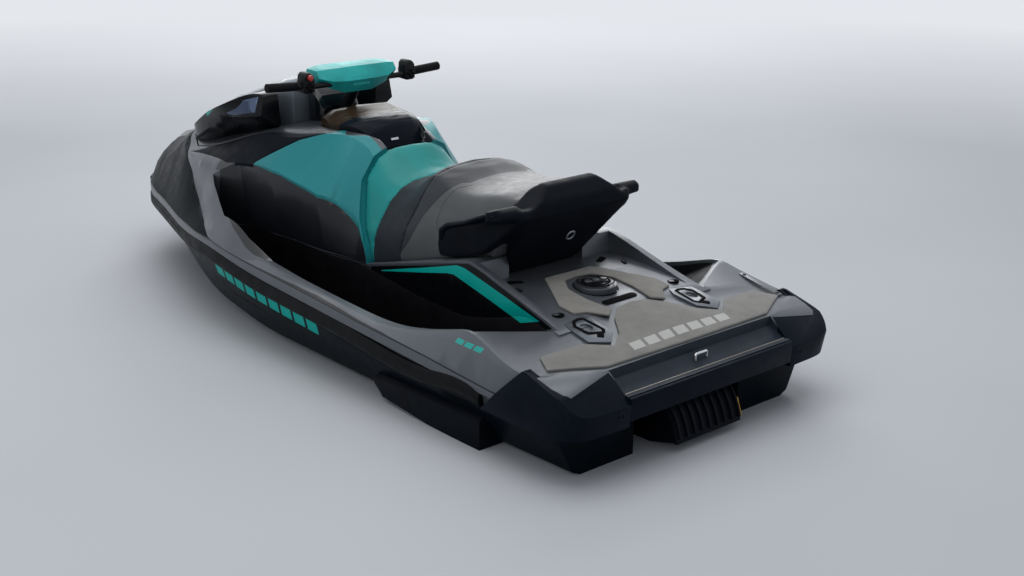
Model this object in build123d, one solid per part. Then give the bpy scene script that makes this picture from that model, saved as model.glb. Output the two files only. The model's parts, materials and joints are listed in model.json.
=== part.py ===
# Three-seat personal watercraft, built in millimetres.
# +X points to the bow, +Y to port, +Z up.  Heights are measured from the keel
# while the pieces are made; each is lowered by `draught` as it is written, so
# that the part's origin lies amidships at the waterline.
import os
from math import cos, radians, sin

from build123d import *

os.makedirs("parts", exist_ok=True)

# Overall
half_beam = 627.5
draught = 170.0
stern = -1659.0
bow = 1659.0
transom = -1545.0

# Clearances and walls
seat_gap = 1.0          # between pieces that sit on each other
lid_gap = 6.0           # round every lid that opens
pin_gap = 0.05          # round every pin and shaft
skin = 9.0              # moulded panels let into the body
shell = 20.0            # hood shell
bin_wall = 5.0          # storage tubs
mat_depth = 8.0

# Bumpers and rail
rail_depth = 18.0
bumper_bottom = 330.0
bumper_crease = 404.0
bumper_top = 500.0
centre_bumper_half = 376.0
centre_bumper_bottom = 346.0
centre_bumper_top = 420.0

# Footwells
floor_height = 300.0
liner = 7.0

well_rear = -1110.0
well_middle = 440.0

# Pedestal and seat
pedestal_half = 352.0
tray_half = 300.0
seat_half_width = 250.0
handle_gap = 5.0

# Front storage tub and glovebox bin
tub_rear = 560.0
tub_front = 1010.0
tub_half = 190.0
tub_floor = 330.0
tub_rim = 640.0
bin_rear = -20.0
bin_front = 206.0
bin_half = 98.0
bin_floor = 694.0
bin_rim = 862.0

# Hinges
glove_pin_x = 222.0
glove_pin_z = 950.0
hood_pin_x = 1568.0
hood_pin_z = 626.0
pin_radius = 4.0
barrel_radius = 8.0
hood_front = 1560.0
hood_pocket_front = 1590.0

# Deck cap
cap_x = -1121.0
cap_radius = 72.0
cap_neck = 40.0
cap_sink = 12.0
cap_thick = 21.0

# Drive
pump_height = 140.0
pump_bore = 85.0
pump_wall = 14.0
outlet_radius = 42.0
outlet_wall = 8.0
tip_gap = 5.5
shaft_radius = 14.0
hub_radius = 38.0
blade_count = 4
vane_count = 7
gate_pivot_x = -1430.0
gate_pivot_z = 172.0
gate_pin = 9.0
gate_inner = 200.0
gate_outer = 222.0
gate_half_width = 150.0
gate_ribs = 9
nozzle_pivot_x = -1474.0
nozzle_mouth_x = -1586.0
nozzle_pin = 8.0
lug_inner = 82.0
lug_outer = 92.0

# Steering
bar_x = 205.0
bar_height = 1085.0
bar_radius = 11.0
grip_radius = 17.0
column_tilt = 34.0      # from the vertical, leaning back
column_radius = 24.0
pod_inner = 214.0
pod_outer = 262.0

# Engine
engine_length = 620.0
engine_width = 330.0
engine_bottom = 108.0
engine_top = 430.0
engine_front = 170.0
bay_clearance = 25.0

# Bow eye and accessory sockets
eye_x = 1592.0
eye_z = 262.0
eye_radius = 12.0
eye_thickness = 8.0
socket_x = -1330.0
socket_y = 246.0
socket_radius = 21.0

pieces = {}


def curve(*points):
    # Monotone cubic through a few (x, value) points.
    xs = [p[0] for p in points]
    vs = [p[1] for p in points]
    last = len(points) - 1
    slope = [(vs[i + 1] - vs[i]) / (xs[i + 1] - xs[i]) for i in range(last)]
    tangent = [slope[0]]
    for a, b in zip(slope, slope[1:]):
        tangent.append(0.0 if a * b <= 0 else 2 * a * b / (a + b))
    tangent.append(slope[-1])

    def value(x):
        x = min(max(x, xs[0]), xs[-1])
        i = max(k for k in range(last) if xs[k] <= x)
        h = xs[i + 1] - xs[i]
        t = (x - xs[i]) / h
        return (
            (2 * t**3 - 3 * t**2 + 1) * vs[i]
            + (t**3 - 2 * t**2 + t) * h * tangent[i]
            + (3 * t**2 - 2 * t**3) * vs[i + 1]
            + (t**3 - t**2) * h * tangent[i + 1]
        )

    return value


# Lines of the craft, as inset from the beam or height over the keel.
inset = curve((-1645, 130), (-1620, 70), (-1590, 40), (-1550, 26), (-1500, 18), (-1438, 14),
              (-1300, 6), (-1000, 0), (100, 0), (400, 22), (660, 83), (900, 157), (1060, 212),
              (1223, 262), (1400, 329), (1530, 412), (1610, 497), (1642, 560))
rail_foot = curve((-1650, 330), (-1076, 329), (-644, 352), (0, 394), (346, 432), (750, 420),
                  (1200, 412), (1650, 405))
band_foot = curve((-1650, 366), (-1264, 377), (-900, 396), (-500, 422), (0, 456), (350, 490),
                  (750, 477), (1200, 468), (1650, 460))
band_head = curve((-1650, 392), (-1302, 401), (-998, 429), (-640, 449), (-366, 471), (0, 495),
                  (342, 519), (720, 512), (1100, 507), (1650, 500))
crest = curve((-1650, 470), (-1550, 484), (-1393, 492), (-1240, 530), (-1160, 546), (-1060, 524),
              (-900, 480), (-774, 462), (-600, 463), (-375, 478), (0, 506), (150, 527), (320, 530),
              (700, 522), (1650, 508))
crest_inset = curve((-1645, 10), (-1438, 10), (-1325, 22), (-1200, 42), (-1060, 48), (1650, 48))
deck_mid = curve((-1650, 468), (-1550, 488), (-1400, 520), (-1233, 543), (-1123, 557),
                 (-960, 572), (-700, 560), (-300, 480), (300, 500), (1650, 505))
keel = curve((-1650, 0), (300, 0), (700, 12), (1000, 48), (1200, 95), (1400, 172), (1530, 250),
             (1610, 318), (1645, 360))
chine_half = curve((-1650, 478), (-1000, 492), (0, 488), (500, 442), (900, 345), (1200, 245),
                   (1400, 160), (1530, 100), (1610, 58), (1645, 30))
chine_height = curve((-1650, 172), (0, 190), (500, 215), (900, 262), (1200, 308), (1400, 345),
                     (1530, 368), (1610, 385), (1645, 396))
rail_line = curve((-1320, 524), (-1298, 529), (-1080, 590), (-900, 642), (-850, 650), (-800, 640),
                  (-550, 574), (-240, 494), (-190, 482), (-100, 470), (600, 470))
seat_top = curve((-990, 858), (-880, 868), (-760, 850), (-660, 846), (-580, 866), (-510, 884),
                 (-430, 852), (-340, 802), (-270, 794), (-200, 826), (-120, 888), (-60, 900))
seat_half = curve((-990, 190), (-850, 238), (-600, seat_half_width), (-200, seat_half_width),
                  (-100, 246))
seat_shoulder = curve((-990, 160), (-850, 190), (-600, 196), (-480, 176), (-300, 150), (-100, 150))

stations = [-1645, -1620, -1590, -1550, -1500, -1438, -1300, -1230, -1160, -1090, -1000, -774,
            -500, -200, 100, 350, 600, 850, 1060, 1223, 1400, 1530, 1610, 1642]
seat_stations = [-990, -900, -820, -740, -660, -580, -510, -430, -340, -270, -200, -150, -90]
rail_stations = [-1250, -1000, -600, -200, 100, 350, 600, 850, 1060, 1223, 1400, 1500]

# The seat's front edge leans forward; its rear end leans back under the grab handle.
seam_line = [(-208, 300), (-208, 508), (-150, 640), (-112, 776), (-124, 900), (-124, 1000)]
seat_rear_line = [(-822, 560), (-835, 600), (-968, 800), (-988, 860), (-988, 1000)]


def half(x):
    return half_beam - inset(x)


def mirrored(x, outline):
    # A closed section in the plane x from its port half, keel first.
    port = [Vector(x, y, z) for y, z in outline]
    starboard = [Vector(x, -y, z) for y, z in reversed(outline) if y > 0.01]
    return Wire.make_polygon(port + starboard, close=True)


def prism_side(outline, y0, y1):
    # Extrude an (x, z) outline from y0 to y1.
    face = Face(Wire.make_polygon([Vector(x, y0, z) for x, z in outline], close=True))
    return Solid.extrude(face, Vector(0, y1 - y0, 0))


def prism_plan(outline, z0, z1):
    # Extrude an (x, y) outline from z0 to z1.
    face = Face(Wire.make_polygon([Vector(x, y, z0) for x, y in outline], close=True))
    return Solid.extrude(face, Vector(0, 0, z1 - z0))


def prism_front(outline, x0, x1):
    # Extrude a (y, z) outline, given as its port half, from x0 to x1.
    return Solid.extrude(Face(mirrored(x0, outline)), Vector(x1 - x0, 0, 0))


def both_halves(outline):
    # A whole (x, y) outline from its port half.
    return outline + [(x, -y) for x, y in reversed(outline) if y > 0.01]


def block(x0, x1, y0, y1, z0, z1):
    return prism_plan([(x0, y0), (x1, y0), (x1, y1), (x0, y1)], z0, z1)


def rod(start, end, radius):
    # A round bar between two points.
    start = Vector(*start)
    end = Vector(*end)
    plane = Plane(origin=start, z_dir=end - start)
    return Solid.make_cylinder(radius, (end - start).length, plane)


def raised(shape, height):
    return shape.moved(Location((0, 0, height)))


def twin(solid):
    return solid.mirror(Plane.XZ)


def both(solid):
    # The port piece and its starboard twin.
    return Compound([solid, twin(solid)])


def keep(shape, smallest=4000.0):
    # Drop slivers that a cut leaves behind.
    return Compound([s for s in shape.solids() if s.volume > smallest])


def under(line, drop, x0, x1, reach, base):
    # The space below a line of the craft, for cutting one piece to another.
    count = 24
    xs = [x0 + (x1 - x0) * i / count for i in range(count + 1)]
    top = Edge.make_spline([Vector(x, -reach, line(x) - drop) for x in xs])
    down = Edge.make_line(top @ 1, Vector(x1, -reach, base))
    back = Edge.make_line(Vector(x1, -reach, base), Vector(x0, -reach, base))
    up = Edge.make_line(Vector(x0, -reach, base), top @ 0)
    return Solid.extrude(Face(Wire([top, down, back, up])), Vector(0, 2 * reach, 0))


# Hull and deck blanks
def body_section(x):
    b = half(x)
    c = min(chine_half(x), b - 30)
    zk = keel(x)
    zc = chine_height(x)
    return mirrored(x, [
        (0, zk),
        (0.55 * c, zk + 0.52 * (zc - zk)),
        (0.62 * c, zk + 0.50 * (zc - zk)),
        (c, zc),
        (min(c + 26, b - 24), zc + 12),
        (b - 24, rail_foot(x)),
        (b - rail_depth + 2, band_foot(x)),
        (b - 5, band_foot(x) + 2),
        (b - 4, band_head(x)),
        (b - 0.7 * crest_inset(x), 0.75 * crest(x) + 0.25 * band_head(x)),
        (b - crest_inset(x), crest(x)),
        (max(b - crest_inset(x) - 18, 4), crest(x)),
        (max(0.5 * (b - 66), 2), 0.5 * (crest(x) + deck_mid(x))),
        (0, deck_mid(x)),
    ])


def make_pedestal():
    # The box that carries the seat, with a raised rail along both sides.
    xs = (-1320, -1200, -1080, -960, -900, -850, -800, -700, -550, -400, -240, -190)
    line = [(x, rail_line(x)) for x in xs]
    outline = [(-1320, 400)] + line + [(-100, 470), (100, 470), (100, 320), (-900, 320)]
    return prism_side(outline, -pedestal_half, pedestal_half) - joint_space


def footwell(extra):
    # The space for the rider's legs and feet on the port side, `extra` larger all round.
    floor = [(-800, 332), (-740, 520), (-300, 548), (130, 548), (330, 525), (520, 455),
             (560, 420), (420, 372), (225, 335), (0, 310), (-149, 290), (-600, 300)]
    head = [(-2329, 344), (-1962, 660), (-300, 590), (130, 590), (355, 562), (504, 498),
            (578, 468), (464, 425), (225, 422), (0, 368), (-149, 240), (-600, 335)]
    outward = [(-1, -1), (-1, 1), (0, 1), (0, 1), (0.5, 1), (1, 0.7), (1, 0), (0.7, -1),
               (0, -1), (0, -1), (0, -1), (0, -1)]

    def ring(points, z):
        moved = [Vector(x + extra * dx, y + extra * dy, z)
                 for (x, y), (dx, dy) in zip(points, outward)]
        return Wire.make_polygon(moved, close=True)

    return Solid.make_loft([ring(floor, floor_height - extra), ring(head, 1000)], ruled=True)


blank = Solid.make_loft([body_section(x) for x in stations])
joint_space = under(rail_foot, -12.0, -1700, 1700, 700, -100)
pedestal = make_pedestal()
well = footwell(0)
well_skin = footwell(liner)
tray_line = [(x, deck_mid(x)) for x in (-1330, -1233, -1123, -1040, -960, -880)]
cap_floor = deck_mid(cap_x) - cap_sink
cap_room = rod((cap_x, 0, cap_floor), (cap_x, 0, 700), cap_radius + lid_gap)
cap_neck_hole = rod((cap_x, 0, cap_floor - 40), (cap_x, 0, cap_floor + 10), cap_neck + pin_gap)
engine_rear = engine_front - engine_length
bay_half = engine_width / 2 + bay_clearance
engine_bay = block(engine_rear - 70, engine_front + 70, -bay_half, bay_half, engine_bottom,
                   engine_top + 40)
tub_outer = block(tub_rear, tub_front, -tub_half, tub_half, tub_floor, tub_rim)
gate_room = block(-1602, -1300, -246, 246, -100, gate_pivot_z + gate_outer + 16)


# Stern: plan lines of the platform's rim, bumpers and the recessed step
rim_low = [(-1200, 617), (-1300, 619), (-1438, 620), (-1540, 615), (-1596, 600), (-1630, 570),
           (-1646, 520), (-1650, 450), (-1652, centre_bumper_half), (-1652, 0)]
rim_crease = [(-1200, 620), (-1300, 624), (-1438, 627), (-1548, 623), (-1606, 610), (-1640, 580),
              (-1654, 530), (-1658, 460), (stern, centre_bumper_half), (stern, 0)]
rim_top = [(-1200, 619), (-1300, 615), (-1438, 605), (-1548, 600), (-1596, 590), (-1626, 564),
           (-1642, 520), (-1648, 450), (-1650, centre_bumper_half), (-1650, 0)]
lip_line = [(-1438, 594), (-1540, 589), (-1580, 578), (-1606, 550), (-1612, centre_bumper_half),
            (-1612, 0)]
bumper_front = [(-1438, 508), (-1230, 310)]


def stern_rim(line, z):
    rim = Edge.make_spline([Vector(x, y, z) for x, y in both_halves(line)])
    return Wire([rim, Edge.make_line(rim @ 1, rim @ 0)])


def over_corners(drop):
    # The space above the platform's corners, which fall away to the stern and outward.
    ends = []
    for x in (-1380, -1750):
        height = 501 + corner_fall * (x + 1443) - drop
        ends.append(mirrored(x, [(0, height + 54), (700, height - 9), (700, 900), (0, 900)]))
    return Solid.make_loft(ends, ruled=True)


def make_bumpers():
    # A ring round the stern, cut back at the corners by two slopes.
    inner = prism_plan(both_halves([(-1150, 590), (-1300, 588), (-1438, 574), (-1520, 570),
                                    (-1544, 552), (-1550, 500), (-1550, centre_bumper_half + 8),
                                    (-1612, centre_bumper_half - 4), (-1612, 0)]), 200, 700)
    slab = block(-1800, -1100, -800, 800, bumper_bottom, bumper_top)
    ahead = prism_side(bumper_front + [(-1100, 300), (-1100, 600)], -800, 800)
    lip = over_corners(lip_depth) & prism_plan(both_halves(lip_line), 300, 800)
    below_centre = block(-1750, -1500, -centre_bumper_half, centre_bumper_half, 200,
                         centre_bumper_bottom)
    ring = ((stern_form & slab) - inner) - ahead
    pieces["stern_bumper"] = keep((ring & centre_box) - below_centre)
    pieces["corner_bumpers"] = keep((ring - centre_column) - lip)


def stern_cuts():
    # What the deck and the hull lose at the stern.
    step = prism_side([(-1556, 700), (-1562, 452), (-1612, 424), (-1800, 420), (-1800, 700)],
                      -centre_bumper_half, centre_bumper_half)
    behind = prism_side(bumper_front + [(-1800, 200), (-1800, 800)], -800, 800)
    trim = block(-1800, -1230, -800, 800, -200, 700) - stern_form
    return step, trim & behind


corner_fall = 0.3
lip_depth = 6.0
centre_box = block(-1750, -1500, -centre_bumper_half, centre_bumper_half, 200, centre_bumper_top)
centre_column = block(-1800, -1300, -centre_bumper_half, centre_bumper_half, -300, 950)
stern_slope = prism_side([(-1500, 531.5), (-1700, 365.5), (-1700, 900), (-1500, 900)], -700, 700)
stern_form = Solid.make_loft([
    stern_rim(rim_low, -200), stern_rim(rim_low, bumper_bottom),
    stern_rim(rim_crease, bumper_crease), stern_rim(rim_top, bumper_top),
    stern_rim(rim_top, 700)], ruled=True)
stern_form = (stern_form - (over_corners(0) - centre_column)) - (stern_slope - centre_column)


# Front body: console, fenders, bow shell, hood
front_rows = [
    # x, seam (y, z), flank (y, z), ridge (y, z), shoulder (y, z), lid edge (y, z), middle z
    (-240, (598, 478), (450, 480), (262, 520), (215, 640), (150, 700), 720),
    (-160, (600, 480), (450, 485), (272, 600), (196, 810), (130, 850), 860),
    (-80, (602, 485), (450, 500), (308, 682), (172, 890), (120, 905), 905),
    (0, (604, 500), (470, 560), (343, 722), (206, 922), (140, 925), 925),
    (110, (604, 520), (500, 620), (366, 757), (250, 915), (170, 930), 932),
    (225, (600, 535), (510, 660), (393, 784), (300, 893), (210, 920), 925),
    (345, (578, 546), (500, 672), (403, 784), (318, 892), (260, 905), 915),
    (520, (532, 560), (482, 680), (412, 765), (334, 850), (280, 868), 890),
    (620, (488, 592), (462, 676), (425, 738), (345, 815), (285, 842), 875),
    (717, (450, 636), (434, 690), (418, 727), (352, 785), (290, 818), 862),
    (850, (398, 705), (390, 720), (381, 733), (355, 748), (280, 790), 845),
    (1000, (330, 736), (322, 741), (310, 746), (292, 756), (200, 795), 828),
    (1076, (296, 730), (282, 748), (262, 764), (240, 772), (150, 798), 815),
    (1183, (290, 672), (248, 716), (200, 750), (178, 757), (120, 772), 785),
    (1314, (280, 600), (236, 650), (190, 690), (168, 700), (110, 730), 748),
    (1400, (250, 590), (216, 632), (176, 665), (150, 680), (95, 712), 722),
    (1500, (195, 572), (160, 610), (120, 642), (98, 655), (62, 676), 684),
    (1590, (118, 548), (95, 575), (70, 600), (56, 606), (36, 618), 622),
    (1640, (62, 520), (50, 530), (38, 538), (30, 541), (18, 545), 547),
]
lid_port = [(hood_front, 22), (1500, 74), (1400, 132), (1314, 150), (1183, 164), (1076, 222),
            (1000, 268), (900, 318), (700, 334), (430, 308)]
fender_seam = [(1100, 776), (900, 727), (787, 687), (717, 638), (613, 592), (535, 567),
               (464, 543), (380, 524), (150, 505), (-100, 480)]
knee_side = [(345, 786), (180, 889), (60, 930), (-60, 915), (-135, 892), (-124, 884),
             (-112, 776), (-150, 640), (-208, 508), (-180, 500), (-100, 560), (-40, 640),
             (50, 712), (180, 765)]
wedge_plan = [(905, 356), (520, 414), (345, 405), (180, 290), (60, 214), (400, 321)]


def front_section(row):
    x, seam, flank, ridge, shoulder, edge, middle = row
    b = half(x)
    return mirrored(x, [(0, 440), (b - 60, 440), (b - 14, band_foot(x) + 10),
                        (b - 7, band_head(x)), seam, flank, ridge, shoulder, edge, (0, middle)])


front_outer = Solid.make_loft([front_section(row) for row in front_rows])


def lid_prism(grow, z0, z1):
    port = [(x, y + grow) for x, y in lid_port]
    port[0] = (port[0][0] + grow, port[0][1])
    port[-1] = (port[-1][0] - grow, port[-1][1])
    return prism_plan(both_halves(port), z0, z1)


glove_rows = [
    # x, half width, bottom z, side z, top z
    (-62, 100, 850, 856, 864),
    (-30, 122, 864, 905, 925),
    (0, 136, 876, 932, 952),
    (80, 172, 896, 944, 966),
    (150, 180, 906, 950, 976),
    (212, 168, 912, 954, 982),
]


def glove_loft(grow):
    wires = []
    for x, w, low, side, top in glove_rows:
        if grow and x == glove_rows[0][0]:
            x = x - grow
        if grow and x == glove_rows[-1][0]:
            x = glove_pin_x + barrel_radius + grow
        wires.append(mirrored(x, [(0, low - grow), (0.8 * w + grow, low - grow), (w + grow, low),
                                  (w + grow, side), (0.72 * w, top - 4), (0, top + grow)]))
    return Solid.make_loft(wires)


def make_glovebox():
    # The lid turns on a pin at its forward edge, over a bin let into the console.
    barrel = rod((glove_pin_x, -44, glove_pin_z), (glove_pin_x, 44, glove_pin_z), barrel_radius)
    arm = block(205, glove_pin_x, -44, 44, glove_pin_z - 7, glove_pin_z + 7)
    bore = rod((glove_pin_x, -60, glove_pin_z), (glove_pin_x, 60, glove_pin_z),
               pin_radius + pin_gap)
    pieces["glovebox_lid"] = ((glove_loft(0) + arm) + barrel) - bore
    inner = block(bin_rear + bin_wall, bin_front - bin_wall, bin_wall - bin_half,
                  bin_half - bin_wall, bin_floor + bin_wall, 1000)
    pieces["glovebox_bin"] = block(bin_rear, bin_front, -bin_half, bin_half, bin_floor,
                                   bin_rim) - inner


def glove_room():
    # Open above the lid, and behind it down to the seat, so that it can lift.
    low = glove_loft(lid_gap)
    path = [low.moved(Location((-back, 0, lift))) for back, lift in ((8, 14), (14, 30), (14, 52))]
    behind = block(-135, -60, -108, 108, 862, 1100)
    over_bin = block(bin_rear, bin_front, -bin_half, bin_half, bin_floor, 1000)
    return [low, *path, behind, over_bin]


def hood_hinge():
    # Pocket in the bow, pin across it, and the hood's barrel round the pin.
    pocket = block(hood_front - 4, hood_pocket_front, -32, 32, hood_pin_z - 26, 720)
    pin = rod((hood_pin_x, -38, hood_pin_z), (hood_pin_x, 38, hood_pin_z), pin_radius)
    barrel = rod((hood_pin_x, -18, hood_pin_z), (hood_pin_x, 18, hood_pin_z), barrel_radius)
    arm = block(1530, hood_pin_x, -18, 18, hood_pin_z - 7, hood_pin_z + 7)
    bore = rod((hood_pin_x, -40, hood_pin_z), (hood_pin_x, 40, hood_pin_z),
               pin_radius + pin_gap)
    return pocket, pin, barrel, arm, bore


def make_front():
    pocket, pin, barrel, arm, bore = hood_hinge()
    ahead_of_seat = prism_side(seam_line + [(1800, 1000), (1800, 300)], -700, 700)
    front_lower = raised(front_outer, -shell)
    hood = (front_outer & lid_prism(0, 560, 1300)) - front_lower
    pieces["hood_lid"] = keep(((hood + arm) + barrel) - bore)

    front = front_outer & ahead_of_seat
    for cut in (blank, pedestal, well, twin(well), lid_prism(lid_gap, crest(900) - 30, 1300),
                pocket, *glove_room()):
        front = front - cut

    console_box = block(-400, 430, -436, 436, 300, 1200)
    above_seam = prism_side(fender_seam + [(-100, 1300), (1100, 1300)], -800, 800)
    console = front & console_box
    sides = front - console_box
    fenders = sides & above_seam
    bow_shell = sides - above_seam

    # Panels let into the body: teal at the knees, black wedges above them.
    knee_prism = prism_side(knee_side, 130, 500)
    wedge_prism = prism_plan(wedge_plan, 600, 1000)
    inward = front_outer.moved(Location((0, -0.8 * skin, -0.6 * skin)))
    wedge = (front & wedge_prism) - inward
    knee = ((console & knee_prism) - wedge_prism) - inward
    pieces["wedge_panels"] = both(keep(wedge))
    pieces["knee_panels"] = both(keep(knee))
    for panel in (pieces["wedge_panels"], pieces["knee_panels"]):
        console = console - panel
        fenders = fenders - panel
    bow_shell = bow_shell - pieces["wedge_panels"]

    glove_pin = rod((glove_pin_x, -70, glove_pin_z), (glove_pin_x, 70, glove_pin_z), pin_radius)
    for side in (1, -1):
        console = console + block(glove_pin_x - 7, glove_pin_x + 26, *sorted((side * 52, side * 66)),
                                  900, glove_pin_z + 7)
    console = console + glove_pin
    pieces["console"] = keep(console)
    pieces["fenders"] = keep(fenders)
    pieces["bow_shell"] = keep(bow_shell + pin)


cowl_rows = [(1100, 40, 822), (1040, 110, 868), (975, 150, 918), (850, 175, 962),
             (700, 190, 1010), (560, 185, 1056), (470, 165, 1080), (432, 150, 1084)]
mirror_rows = [
    # x, then inner foot, outer foot, outer head and inner head as (y, z)
    (1120, (190, 700), (206, 762), (212, 792), (190, 802)),
    (960, (182, 690), (292, 780), (300, 834), (182, 852)),
    (820, (186, 700), (330, 834), (344, 890), (190, 908)),
    (700, (190, 760), (338, 880), (372, 938), (196, 956)),
    (590, (200, 800), (338, 915), (386, 976), (212, 1000)),
    (430, (218, 862), (330, 946), (314, 1034), (228, 1034)),
    (406, (226, 890), (316, 950), (304, 1024), (236, 1026)),
]


def make_hood_fittings():
    cowl = Solid.make_loft([
        mirrored(x, [(0, 640), (w, 640), (w, top - 70), (0.9 * w, top - 28), (0.62 * w, top - 6),
                     (0, top)])
        for x, w, top in cowl_rows]) - front_outer
    pieces["cowl"] = keep(cowl)
    mirror = Solid.make_loft([
        Wire.make_polygon([Vector(x, y, z) for y, z in corners], close=True)
        for x, *corners in mirror_rows])
    over_body = raised(front_outer, lid_gap) - lid_prism(0, 500, 1300)
    glass = mirror & mirror_glass_slot()
    for cut in (front_outer, over_body, cowl):
        mirror = mirror - cut
    pieces["mirror_housings"] = both(keep(mirror - mirror_glass_slot()))
    pieces["mirror_glasses"] = both(keep(glass, 500))


def mirror_glass_slot():
    # A thin slab along the housing's slanted after face.
    corners = [(424, 318, 1024), (431, 334, 964), (586, 342, 926), (588, 386, 968)]
    flat = Face(Wire.make_polygon([Vector(*corners[i]) for i in (0, 1, 2)], close=True))
    normal = flat.normal_at()
    if normal.Y < 0:
        normal = -normal
    plane = Plane(origin=Vector(*corners[1]), z_dir=normal)
    spots = [plane.to_local_coords(Vector(*corner)) for corner in corners]
    outline = Wire.make_polygon(
        [plane.from_local_coords(Vector(s.X, s.Y, -7)) for s in
         (spots[0], spots[1], spots[2], spots[3])], close=True)
    return Solid.extrude(Face(outline), normal * 30)


# Storage, linings and deck
def split_hull(hull):
    # Bottom, topsides above the footwell floors, and the foam core between the footwells.
    bilge = block(-1800, 1800, -800, 800, -100, floor_height - liner)
    upper = hull - bilge
    amidships = block(well_rear, tub_rear, -800, 800, 200, 600)
    core_box = block(well_rear, tub_rear, -well_middle, well_middle, 200, 600)
    pieces["hull"] = keep(hull & bilge)
    pieces["flotation_core"] = keep(upper & core_box, 60000)
    ends = (upper - amidships).solids()
    sides = ((upper & amidships) - core_box).solids()
    pieces["hull_topsides"] = keep(Compound(ends + sides))


def make_deck_and_hull():
    step, stern_trim = stern_cuts()
    wells = [well, twin(well)]
    tray = prism_side([(-1330, 800)] + tray_line + [(-880, 800)], -tray_half, tray_half)
    handle_seat = block(-890, -846, -172, 172, deck_mid(-880), 800)
    bumpers = [pieces["corner_bumpers"], pieces["stern_bumper"]]
    deck = (blank - joint_space) + pedestal
    for cut in (tray, handle_seat, cap_room, cap_neck_hole, tub_outer, engine_bay, step,
                gate_room, stern_trim, *wells, *bumpers):
        deck = deck - cut
    hull = blank & joint_space
    for cut in (block(-1800, transom, -800, 800, -100, centre_bumper_bottom), gate_room, *wells,
                engine_bay, tub_outer, *hull_tunnel(), *bumpers):
        hull = hull - cut

    below_crest = under(crest, 14, -1400, 700, 700, 200)
    liners = both(keep(((deck + hull) & well_skin) & below_crest))
    deck = deck - liners
    hull = hull - liners
    panel_side = [(-1270, 526), (-1080, 582), (-900, 632), (-850, 640), (-800, 630), (-550, 564),
                  (-250, 488), (-215, 440), (-420, 380), (-760, 360), (-900, 380), (-1180, 492)]
    side_panel = (deck & footwell(liner + 5)) & prism_side(panel_side, 200, 420)
    panels = both(keep(side_panel, 60000))
    pieces["footwell_liners"] = liners
    pieces["side_panels"] = panels
    pieces["deck"] = keep(deck - panels)
    split_hull(hull)

    inner = block(tub_rear + bin_wall, tub_front - bin_wall, bin_wall - tub_half,
                  tub_half - bin_wall, tub_floor + bin_wall, tub_rim + 50)
    pieces["storage_bin"] = tub_outer - inner


plate_half = 104.0


def hull_tunnel():
    # Intake duct, pump seat, shaft tunnel and the ride plate's recess.
    duct = prism_side([(-640, -60), (-668, 24), (-780, 90), (-960, 205), (-1110, 226),
                       (-1212, 226), (-1212, 55), (-1120, 40), (-1120, -60)],
                      3 - pump_bore, pump_bore - 3)
    pump_seat = rod((-1310, 0, pump_height), (-1200, 0, pump_height), pump_bore + pump_wall)
    tunnel = rod((-1000, 0, pump_height), (-450, 0, pump_height), shaft_radius + tip_gap)
    return duct, pump_seat, tunnel, block(-1520, -1122, -plate_half, plate_half, -3, 10)


def make_bottom():
    plate = block(-1520, -1122, -plate_half, plate_half, -3, 10)
    for side in (1, -1):
        y0, y1 = sorted((side * plate_half, side * (plate_half - 10)))
        plate = plate + block(-1520, -1300, y0, y1, 10, 58)
    pieces["ride_plate"] = plate
    grate = block(-690, -640, -78, 78, 2, 16) + block(-1122, -1105, -78, 78, 2, 16)
    for y in (-54, -18, 18, 54):
        grate = grate + block(-1118, -655, y - 5, y + 5, 3, 15)
    pieces["intake_grate"] = grate - pieces["hull"]
    rows = [(-628, 560, 200, 252), (-700, 580, 176, 262), (-950, 588, 158, 278),
            (-1215, 590, 150, 282)]
    sponson = Solid.make_loft([
        Wire.make_polygon([Vector(x, 490, low + 10), Vector(x, out - 22, low),
                           Vector(x, out, low + 16), Vector(x, out, high - 16),
                           Vector(x, out - 20, high), Vector(x, 490, high)], close=True)
        for x, out, low, high in rows], ruled=True)
    pieces["sponsons"] = both(keep(sponson - blank))


# Seat and grab handle
def seat_section(x):
    base = rail_line(x) + seat_gap
    top = seat_top(x)
    w = seat_half(x)
    s = seat_shoulder(x)
    deep = top - base
    return mirrored(x, [(0, base), (w - 4, base), (w, base + 14), (w - 6, base + 0.35 * deep),
                        (0.45 * w + 0.55 * s, base + 0.74 * deep), (s, base + 0.90 * deep),
                        (0.62 * s, top - 10), (0, top)])


def make_seat():
    behind_console = prism_side([(x - seat_gap, z) for x, z in seam_line]
                                + [(-2000, 1000), (-2000, 300)], -400, 400)
    ahead_of_handle = prism_side(seat_rear_line + [(100, 1000), (100, 300)], -400, 400)
    seat = Solid.make_loft([seat_section(x) for x in seat_stations])
    seat = (seat & behind_console) & ahead_of_handle
    seat = seat - raised(pedestal, seat_gap)
    front_third = prism_side([(-216, 300), (-216, 540), (-232, 640), (-262, 740), (-330, 1000),
                              (0, 1000), (0, 300)], -400, 400)
    rear_part = prism_side([(-380, 300), (-380, 560), (-408, 660), (-470, 780), (-560, 1000),
                            (-2000, 1000), (-2000, 300)], -400, 400)
    pieces["seat_front"] = seat & front_third
    pieces["seat_rear"] = seat & rear_part
    pieces["seat_bolster"] = (seat - front_third) - rear_part


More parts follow.
